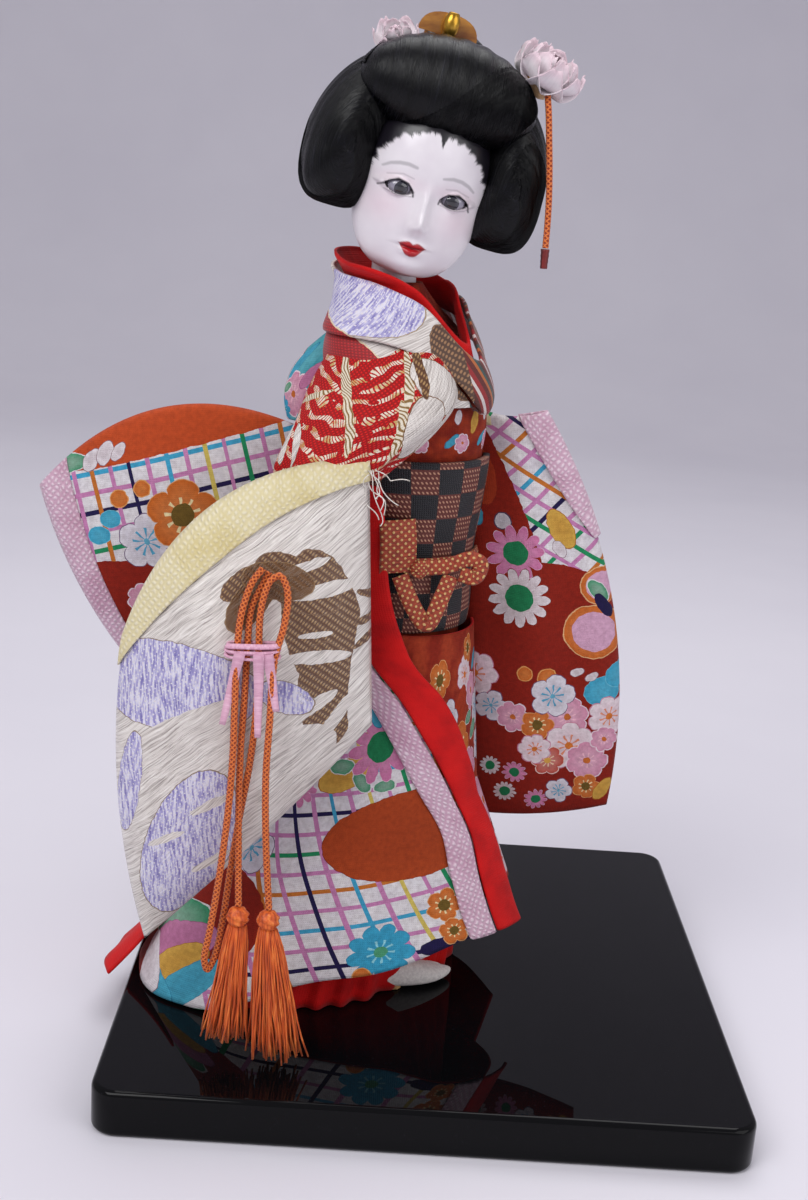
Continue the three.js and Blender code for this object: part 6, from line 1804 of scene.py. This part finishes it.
# Paper tie wound round the cord, with two loose strips
def cord_tie():
    middle = stitch + Vector((-5.2, along(CORD_LAY, -TIE_DROP), -TIE_DROP))
    bm = bmesh.new()
    for turn in range(3):
        line = []
        for k in range(33):
            angle = 2 * math.pi * k / 32
            x = TIE[0] / 2 * math.copysign(abs(math.cos(angle)) ** 0.7, math.cos(angle))
            y = (TIE[1] / 2 - 0.5) * math.copysign(abs(math.sin(angle)) ** 0.7, math.sin(angle))
            line.append(middle + Vector((x, y, 1.9 * (turn - 1) + 0.6 * math.sin(angle + turn))))
        lay_tube(bm, line, 6, lambda angle, place, total: 0.35 + 0.75 * abs(math.sin(angle)))
    for x, drop, lean in TIE_STRIPS:
        line = [middle + Vector((x + lean * t, -TIE[1] / 2 - 0.4 + 0.9 * math.sin(5 * t), -drop * t))
                for t in [k / 12 for k in range(13)]]
        lay_tube(bm, line, 6,
                 lambda angle, place, total: 0.25 + 2.3 * abs(math.sin(angle)) * (1 - 0.5 * place / total))
    close_tubes(bm, 6)
    piece("paper_tie", bm, [pink_paper], "pink_paper", body="tassel", replaced=["cord_tie"])


def tasselled_cord():
    tassel("left", SHORT_ROUTE, *LEFT_TASSEL)
    tassel("right", LONG_ROUTE, *RIGHT_TASSEL)
    cord_tie()
    tassel_cord("cord_strand_short", "tassel_cord_short", SHORT_ROUTE,
                ["tassel_knot_left", "tassel_threads_left"])
    tassel_cord("cord_strand_long", "tassel_cord_long", LONG_ROUTE,
                ["tassel_knot_right", "tassel_threads_right"])


# Height of a soft round hill at a point
def hill(x, z, at, size):
    return math.exp(-((x - at[0]) / size[0]) ** 2 - ((z - at[1]) / size[1]) ** 2)


# How far forward the eyeball lies behind a point of the face
def eye_surface(x, z):
    across = (abs(x) - EYE_SPREAD) / EYE_RADIUS
    up = (z - EYE_HIGH) / (EYE_RADIUS * 0.7)
    bulged = max(1 - across * across - up * up, 0) ** 0.5
    return -FACE_DEEP + 4.6 - EYE_RADIUS * 0.8 * bulged


# Head: shell-white face on the skull's lines, with lids round the eyes, nose, lips and chin
def face_point(unit):
    z = mix(-CHIN, CROWN, (unit.z + 1) / 2)
    z += 5 * math.sin(math.pi * (unit.z + 1)) * 0.8
    angle = math.atan2(unit.x, -unit.y)
    angle -= 0.55 * math.sin(angle)
    reach = min(6 * math.hypot(unit.x, unit.y), 1)
    back = -8 * clamp(-z / CHIN) ** 1.3
    x = along(SKULL_HALF, z) * math.sin(angle) * reach
    y = back - along(SKULL_DEEP, z) * math.cos(angle) * reach
    if y > -6:
        return Vector((x, y, z))
    front = smooth((-y - 6) / 8)
    y -= front * sum(out * hill(abs(x), z, at, size) for out, at, size in FACE_FORMS)
    across = (abs(x) - EYE_SPREAD) / EYE_HALF[0]
    line = EYE_LINE + 0.3 * across
    up = (z - line) / (EYE_HALF[1] * (1 if z > line else 0.85))
    edge = math.hypot(across, up * (1 + 0.35 * across * across)) - 1
    if edge > 0:
        lid = eye_surface(mix(abs(x), EYE_SPREAD, 0.25), mix(z, EYE_HIGH, 0.25)) - 0.55
        return Vector((x, mix(y, min(y, lid), 1 - smooth(edge / 0.8)), z))
    return Vector((x, y + 2.6 * smooth(-edge / 0.16), z))


# Distance from a point of the face to a line
def near_line(x, z, line):
    nearest = math.inf
    for (ax, az), (bx, bz) in zip(line, line[1:]):
        t = clamp(((x - ax) * (bx - ax) + (z - az) * (bz - az)) / ((bx - ax) ** 2 + (bz - az) ** 2))
        nearest = min(nearest, math.hypot(x - mix(ax, bx, t), z - mix(az, bz, t)))
    return nearest


# Paint on the face at a point: ink, with painted shade in the lid creases, then lip colour and blush
def paint(x, y, z):
    if y > -4:
        return (smooth((y + 4) / 2 + z / 8), 0, 0)
    ink_and_crease_shade = 0
    # Brush lines: brows, lash lines and lower lid lines, and the lid creases painted as shade
    for line, half, strength in BRUSH_LINES:
        if abs(x - line[1][0]) < 13 and abs(z - line[1][1]) < 9:
            wide = half * (1 - 0.5 * clamp(abs(abs(x) - 10.5) / 7) ** 2)
            ink_and_crease_shade = max(ink_and_crease_shade, strength * smooth((wide + 0.3 - near_line(x, z, line)) / 0.55))
    turn = math.atan2(x, z)
    stroke = 2.6 * abs(noise.noise(Vector((turn * 34, 4, 0)))) + 1.6 * noise.noise(Vector((turn * 9, 0, 7)))
    lock = 4.6 * math.exp(-((turn - 0.03) / 0.045) ** 2)
    if z > -4:
        ink_and_crease_shade = max(ink_and_crease_shade, smooth((math.hypot(x, z) - HAIRLINE + stroke + lock) / 1.3 + min(z + 4, 0)))
    out = abs(x)
    lips = 0
    if out < 5.2:
        high, low = along(LIP_TOP, out) - z, z - along(LIP_BOTTOM, out)
        lips = smooth(high / 0.5 + 0.6) * smooth(low / 0.5 + 0.6)
        ink_and_crease_shade = max(ink_and_crease_shade, 0.75 * lips * smooth(1 - abs(z - along(LIP_PARTING, out)) / 0.4))
        ink_and_crease_shade = max(ink_and_crease_shade, 0.3 * lips * smooth(1 - min(high, low) / 0.7))
    blush = 0.42 * hill(out, z, (14, -6), (8, 6)) + 0.4 * hill(out, z, (10, 3.5), (8, 2.4))
    return (ink_and_crease_shade, lips, blush)


def doll_head():
    def chart(unit, middle):
        point = face_point(unit)
        return (point.x + (0 if middle.y < 0.1 else MAP_APART), point.z)

    bm = ball(240, 260, face_point, chart)
    painted = [paint(*vert.co) for vert in bm.verts]
    made = piece("head_shell", bm, [shell_white], "skin", body="head", replaced=["head"], pose=head_world)
    made.data.color_attributes.new("Paint", "FLOAT_COLOR", "POINT")
    for place, values in zip(made.data.color_attributes["Paint"].data, painted):
        place.color = (*values, 1)
    middle = torso_middle(NECK_BASE)
    low = NECK_BASE - (NECK_BASE - SASH_TOP) / 6 + CLEARANCE
    high = HEAD_PLACE[2] - CHIN / 4
    line = [Vector((middle[0], middle[1], mix(low, high, k / 30))) for k in range(31)]
    bm = tube(line, 48,
              lambda angle, place, total: NECK_WIDE / 2 * (1 - 0.06 * math.sin(math.pi * place / total)))
    neck = piece("neck_shell", bm, [shell_white], "skin", body="head")
    for loops in neck.data.uv_layers:
        for corner in loops.data:
            corner.uv.x += MAP_APART
    across, deep, high = EYE_RADIUS, EYE_RADIUS * 0.8, EYE_RADIUS * 0.7
    for side, name in ((1, "left"), (-1, "right")):
        bm = ball(40, 32, lambda unit: Vector((unit.x * across, unit.y * deep, unit.z * high)),
                  lambda unit, middle: (unit.x * across + side * 0.6, unit.z * high + 0.6), "Y")
        bmesh.ops.translate(bm, vec=(side * EYE_SPREAD, -FACE_DEEP + 4.6, EYE_HIGH), verts=bm.verts)
        piece(f"eye_glass_{name}", bm, [eye_glass], "glass_eye", body="head", replaced=[f"eye_{name}"],
              pose=head_world)


# A turn kept on its face's side of the seam, so the map doesn't run back over it
def beside_seam(turn, behind, aside):
    if behind > 0 and abs(aside) < 0.2 and turn * aside < 0:
        turn += math.copysign(2 * math.pi, aside)
    return turn


# A lobe of dressed hair; its strands are circles about one axis, and its map runs across and along them
# The radii are across, deep, up and down; a wing's underside is flattened and its top leans inwards
def hair_lobe(name, node, middle, radii, axis, columns, rows, locks, strands, lean=0.0):
    def shape(unit, lift=0.0):
        across = unit.x if axis == "X" else unit.y
        lock = math.sin(locks * across + 1.3 * math.sin(3 * across + unit.z))
        relief = 1 + 0.012 * lock * (1 - across * across) + lift
        if lean and unit.z < 0:
            power = 2 - 1.4 * unit.z
            relief *= sum(abs(part) ** power for part in unit) ** (-1 / power)
        high = radii[2] if unit.z > 0 else radii[3]
        return Vector((middle[0] + radii[0] * unit.x * relief - lean * max(unit.z, 0) ** 2,
                       middle[1] + radii[1] * unit.y * relief, middle[2] + high * unit.z * relief))

    def chart(unit, part):
        if axis == "X":
            return (unit.x * radii[0], beside_seam(math.atan2(unit.z, -unit.y), part.y, part.z) * radii[2])
        return (unit.y * radii[1], beside_seam(math.atan2(unit.x, unit.z), -part.z, part.x) * radii[2])

    bm = ball(columns, rows, shape, chart, axis)
    for k in range(strands):
        across = math.sin(math.pi * ((k * GOLDEN_SHARE) % 1 - 0.5)) * 0.97
        start = k * GOLDEN_ANGLE
        line = []
        for i in range(15):
            drift = clamp(across + 0.03 * noise.noise(Vector((k * 1.7, i * 0.2, 0))), -0.99, 0.99)
            turn = start + i * 0.17
            out = (1 - drift * drift) ** 0.5
            one, other = out * math.cos(turn), out * math.sin(turn)
            unit = Vector((drift, one, other)) if axis == "X" else Vector((one, drift, other))
            line.append(shape(unit, 0.006 + 0.012 * math.sin(math.pi * i / 14)))
        lay_tube(bm, line, 3, HAIR_STRAND / 2)
    piece(name, bm, [black_silk], "hair", body="head", replaced=[node], pose=head_world)


def hair():
    hair_lobe("front_roll_silk", "hair_front_roll", (0, -4, 34), (33, 21, 21, 16), "X", 128, 120, 26, 900)
    for side, name in ((1, "left"), (-1, "right")):
        hair_lobe(f"wing_silk_{name}", f"hair_wing_{name}", (side * 31, 4, 8), (14.5, 20, 35, 21), "Y", 110,
                  90, 20, 700, side * 7)
    hair_lobe("back_silk", "hair_back", (0, 18, 10), (26, 18, 31, 31), "X", 110, 90, 20, 500)
    hair_lobe("topknot_silk", "hair_topknot", (0, 20, 46), (15, 13.5, 12, 12), "X", 90, 70, 14, 300)


# Turning a shape made along +Z to point one way from a place
def aimed(way, place):
    turn = Vector((0, 0, 1)).rotation_difference(way.normalized())
    return Matrix.Translation(place) @ turn.to_matrix().to_4x4()


# A thin curved petal of a silk flower, notched at its tip and a little ruffled
def petal(bm, length, lean, turn, high, wave):
    def at(share, t):
        s = 2 * share - 1
        half = length * 0.62 * math.sin(math.pi * clamp(0.08 + 0.84 * t)) ** 0.7 * (0.35 + 0.65 * t)
        notch = 1 - 0.08 * math.exp(-(s / 0.25) ** 2) * smooth((t - 0.7) / 0.3)
        out = length * t * notch * (1 - 0.16 * s * s)
        angle = lean - 0.7 * t * t + 0.25 * s * s
        ruffle = 0.35 * math.sin(7 * s + wave) * t * t
        point = Vector((out * math.sin(angle), s * half, high + out * math.cos(angle) + ruffle))
        return Matrix.Rotation(turn, 3, "Z") @ point

    lay_grid(bm, 14, 16, at, lambda share, t, co: (2 * share - 1, t))


# A silk flower: cups of petals round a small gold heart with stamens
def flower(name, node, body, pin, face, length, cups, seat):
    place, way = [Vector(part) for part in pin]
    pose = head_world @ aimed(Vector(face), place + way.normalized() * seat)
    bm = bmesh.new()
    for count, size, lean, phase, high in cups:
        for k in range(count):
            petal(bm, length * size, lean * DEGREE, 2 * math.pi * (k + phase) / count, high, 2 * k)
    made = piece(name, bm, [petal_silk], "petal", body=body, replaced=[node], pose=pose)
    thicken(made, 0.22)
    heart = ball(24, 16, lambda unit: Vector((unit.x, unit.y, unit.z + 1)) * length * 0.15,
                 lambda unit, middle: (unit.x, unit.z))
    piece(f"{name}_heart", heart, [gilt], "gold", body=body, pose=pose)
    stamens = bmesh.new()
    for k in range(STAMENS):
        turn = 2 * math.pi * k / STAMENS
        tip = Vector((math.cos(turn), math.sin(turn), 1.6)) * length * 0.2
        line = [Vector((0, 0, 0.6)), tip * 0.6, tip]
        lay_tube(stamens, line, 5, STAMEN_THICK / 2)
    close_tubes(stamens, 5)
    piece(f"{name}_stamens", stamens, [gilt], "gold", body=body, pose=pose)


# A turned shape from its side view, spun round +Z
def turned(profile, steps):
    bm = bmesh.new()
    points = [bm.verts.new((radius, 0, height)) for radius, height in profile]
    edges = [bm.edges.new(pair) for pair in zip(points, points[1:])]
    bmesh.ops.spin(bm, geom=points + edges, axis=(0, 0, 1), cent=(0, 0, 0), angle=2 * math.pi, steps=steps,
                   use_merge=True)
    bmesh.ops.remove_doubles(bm, verts=bm.verts, dist=0.001)
    bmesh.ops.recalc_face_normals(bm, faces=bm.faces)
    return bm


def ornaments():
    flower("right_flower_petals", "flower_right", "flower_right", RIGHT_PIN, (0.24, -0.3, 0.92), 15,
           RIGHT_CUPS, CAP_HIGH)
    flower("left_flower_petals", "flower_left", "flower_left", LEFT_PIN, (-0.35, -0.5, 0.8), 10, LEFT_CUPS, 0)
    place, way = [Vector(part) for part in RIGHT_PIN]
    pose = head_world @ aimed(way, place)
    cap = turned([(0, 0.2), (3.2, 0.2), (4.4, 1), (CAP_RADIUS, CAP_HIGH - 0.6), (CAP_RADIUS - 0.6, CAP_HIGH),
                  (0, CAP_HIGH)], 40)
    piece("flower_cap_silk", cap, [cap_silk], "petal", body="flower_right", replaced=["flower_right_cap"],
          pose=pose)
    bead = ball(24, 16, lambda unit: unit * 2 + Vector((-4.6, -3, 2)), lambda unit, middle: (unit.x, unit.z))
    piece("flower_cap_bead", bead, [gilt], "gold", body="flower_right", pose=pose)
    half = BEAD_LONG / 2
    barrel = turned([(0, -half), (1.4, -half), (2, -half + 0.3), (2.5, -half * 0.6), (3, -half * 0.3),
                     (3, half * 0.3), (2.5, half * 0.6), (2, half - 0.3), (1.4, half), (0, half)], 40)
    middle = Vector(COMB_PLACE) + Vector((0, -1 - 3 - CLEARANCE, 4))
    bmesh.ops.translate(barrel, vec=middle, verts=barrel.verts)
    piece("comb_barrel_bead", barrel, [gilt], "gold", body="comb", replaced=["comb_bead"], pose=head_world)


# Cord hanging from the right flower: two braids side by side, and a bound tip
def dangle():
    hang = doll_pose.inverted() @ head_world @ (Vector(RIGHT_PIN[0]) + Vector((5, -9, -1)))
    points = [hang + Vector(point) for point in DANGLE]
    path = smooth_path(points, CORD_STEP)
    end = points[-1]
    tip = [end + Vector((0, 0, -CLEARANCE - DANGLE_TIP * k / 12)) for k in range(13)]
    bm = tube(tip, 24, lambda angle, place, total: DANGLE_WIDE / 2 + 0.1 - 0.3 * place / total
              + 0.06 * math.sin(14 * place))
    piece("dangle_binding", bm, [dark_silk], "dark_tip", body="dangle", replaced=["dangle_tip"])

    def girth(angle, place, total):
        pair = abs(math.cos(angle)) ** 0.6
        return DANGLE_WIDE / 2 * (0.62 + 0.38 * pair) * (0.86 + 0.14 * braid(angle, place, 5, 4))

    made = piece("dangle_braids", tube(path, 20, girth), [braided_silk], "orange_cord", body="dangle",
                 replaced=["dangle_cord"])
    line, length = measured(path)
    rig.cord(made, exit=line[0], length=length, diameter=DANGLE_WIDE * MM, far_end="fitting", stiffness="limp",
            lay="hanging", path=line, with_pieces=["dangle_binding"])


# Camera at the photograph's place
def camera():
    pitch, yaw, roll = [angle * DEGREE for angle in CAMERA_TURN]
    forward = Vector((-math.sin(yaw) * math.cos(pitch), math.cos(yaw) * math.cos(pitch), -math.sin(pitch)))
    right = Vector((math.cos(yaw), math.sin(yaw), 0))
    up = right.cross(forward)
    right, up = (right * math.cos(roll) + up * math.sin(roll), up * math.cos(roll) - right * math.sin(roll))
    lens = bpy.data.cameras.new("camera")
    lens.sensor_fit = "VERTICAL"
    lens.sensor_height = 24
    lens.lens = CAMERA_LENS
    made = bpy.data.objects.new("camera", lens)
    turned_to = Matrix((right, up, -forward)).transposed().to_4x4()
    made.matrix_world = Matrix.Translation(Vector(CAMERA_PLACE) * MM) @ turned_to
    bpy.context.scene.collection.objects.link(made)
    bpy.context.scene.camera = made


# Pale floor that rises to a backdrop far behind, and soft studio lamps
def studio():
    bm = bmesh.new()
    profile = [(-FLOOR_HALF, 0), (FLOOR_BACK, 0)]
    for k in range(1, 13):
        angle = k * math.pi / 24
        profile.append((FLOOR_BACK + SWEEP_RADIUS * math.sin(angle), SWEEP_RADIUS * (1 - math.cos(angle))))
    profile.append((FLOOR_BACK + SWEEP_RADIUS, BACKDROP_HIGH))
    points = [bm.verts.new((-FLOOR_HALF, y, z)) for y, z in profile]
    edges = [bm.edges.new(pair) for pair in zip(points, points[1:])]
    swept = bmesh.ops.extrude_edge_only(bm, edges=edges)["geom"]
    far_side = [part for part in swept if isinstance(part, bmesh.types.BMVert)]
    bmesh.ops.translate(bm, vec=(2 * FLOOR_HALF, 0, 0), verts=far_side)
    bmesh.ops.recalc_face_normals(bm, faces=bm.faces)
    bmesh.ops.transform(bm, matrix=Matrix.Scale(MM, 4), verts=bm.verts)
    mesh = bpy.data.meshes.new("floor")
    bm.to_mesh(mesh)
    bm.free()
    mesh.polygons.foreach_set("use_smooth", [True] * len(mesh.polygons))
    mesh.materials.append(pale_floor)
    made = bpy.data.objects.new("floor", mesh)
    bpy.context.scene.collection.objects.link(made)
    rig.stage(made)
    for name, place, size, power in LAMPS:
        lamp = bpy.data.lights.new(name, "AREA")
        lamp.shape = "RECTANGLE"
        lamp.size, lamp.size_y = size
        lamp.energy = power
        stand = bpy.data.objects.new(name, lamp)
        away = Vector(place) - Vector((0, 0, 0.2))
        stand.matrix_world = aimed(away, Vector(place))
        bpy.context.scene.collection.objects.link(stand)
    world = bpy.data.worlds.new("studio")
    world.use_nodes = True
    glow = world.node_tree.nodes["Background"].inputs
    glow["Color"].default_value = colour("#e4e2ea")
    glow["Strength"].default_value = SURROUND_LIGHT
    bpy.context.scene.world = world
    bpy.context.scene.view_settings.view_transform = "Standard"


# CAD parts that keep their shape, with finishes
def carried_over():
    kept = {
        bright_steel: ["base_screw_right", "base_screw_left"],
        bare_wood: ["leg_dowel_right", "leg_dowel_left", "neck_peg"],
        straw_paper: ["arm_wire_right", "arm_wire_left", "torso_core"],
        shell_white: ["hand_right", "hand_left"],
        gilt: ["flower_right_pin", "flower_left_pin"],
        amber: ["comb"],
    }
    for material, nodes in kept.items():
        for node in nodes:
            made = bpy.data.objects[node]
            made.data.materials.clear()
            made.data.materials.append(material)


camera()
tasselled_cord()
dangle()
board()
sock("sock_right", "foot_right", *RIGHT_FOOT)
sock("sock_left", "foot_left", *LEFT_FOOT)
petticoat()
kimono_skirt()
robe_skirt()
edge_band("front_crepe_band", "robe_front_facing", -FACING_WIDE, -CLEARANCE, pink_crepe, "pink_crepe", 24)
edge_band("front_lining_band", "robe_front_lining", CLEARANCE, LINING_WIDE, red_cotton, "red_cloth", 26)
train_lining()
torso_cloths()
sash()
sash_bow()
cord_sash()
cord_sash_bow()
shoulders()
sleeves()
frayed_floss()
doll_head()
hair()
ornaments()
carried_over()
studio()
bpy.context.view_layer.update()
with open("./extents.json", "w") as out:
    json.dump({"cad": [list(corner) for corner in cad_box], "visual": [list(corner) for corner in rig.bounds()]}, out)
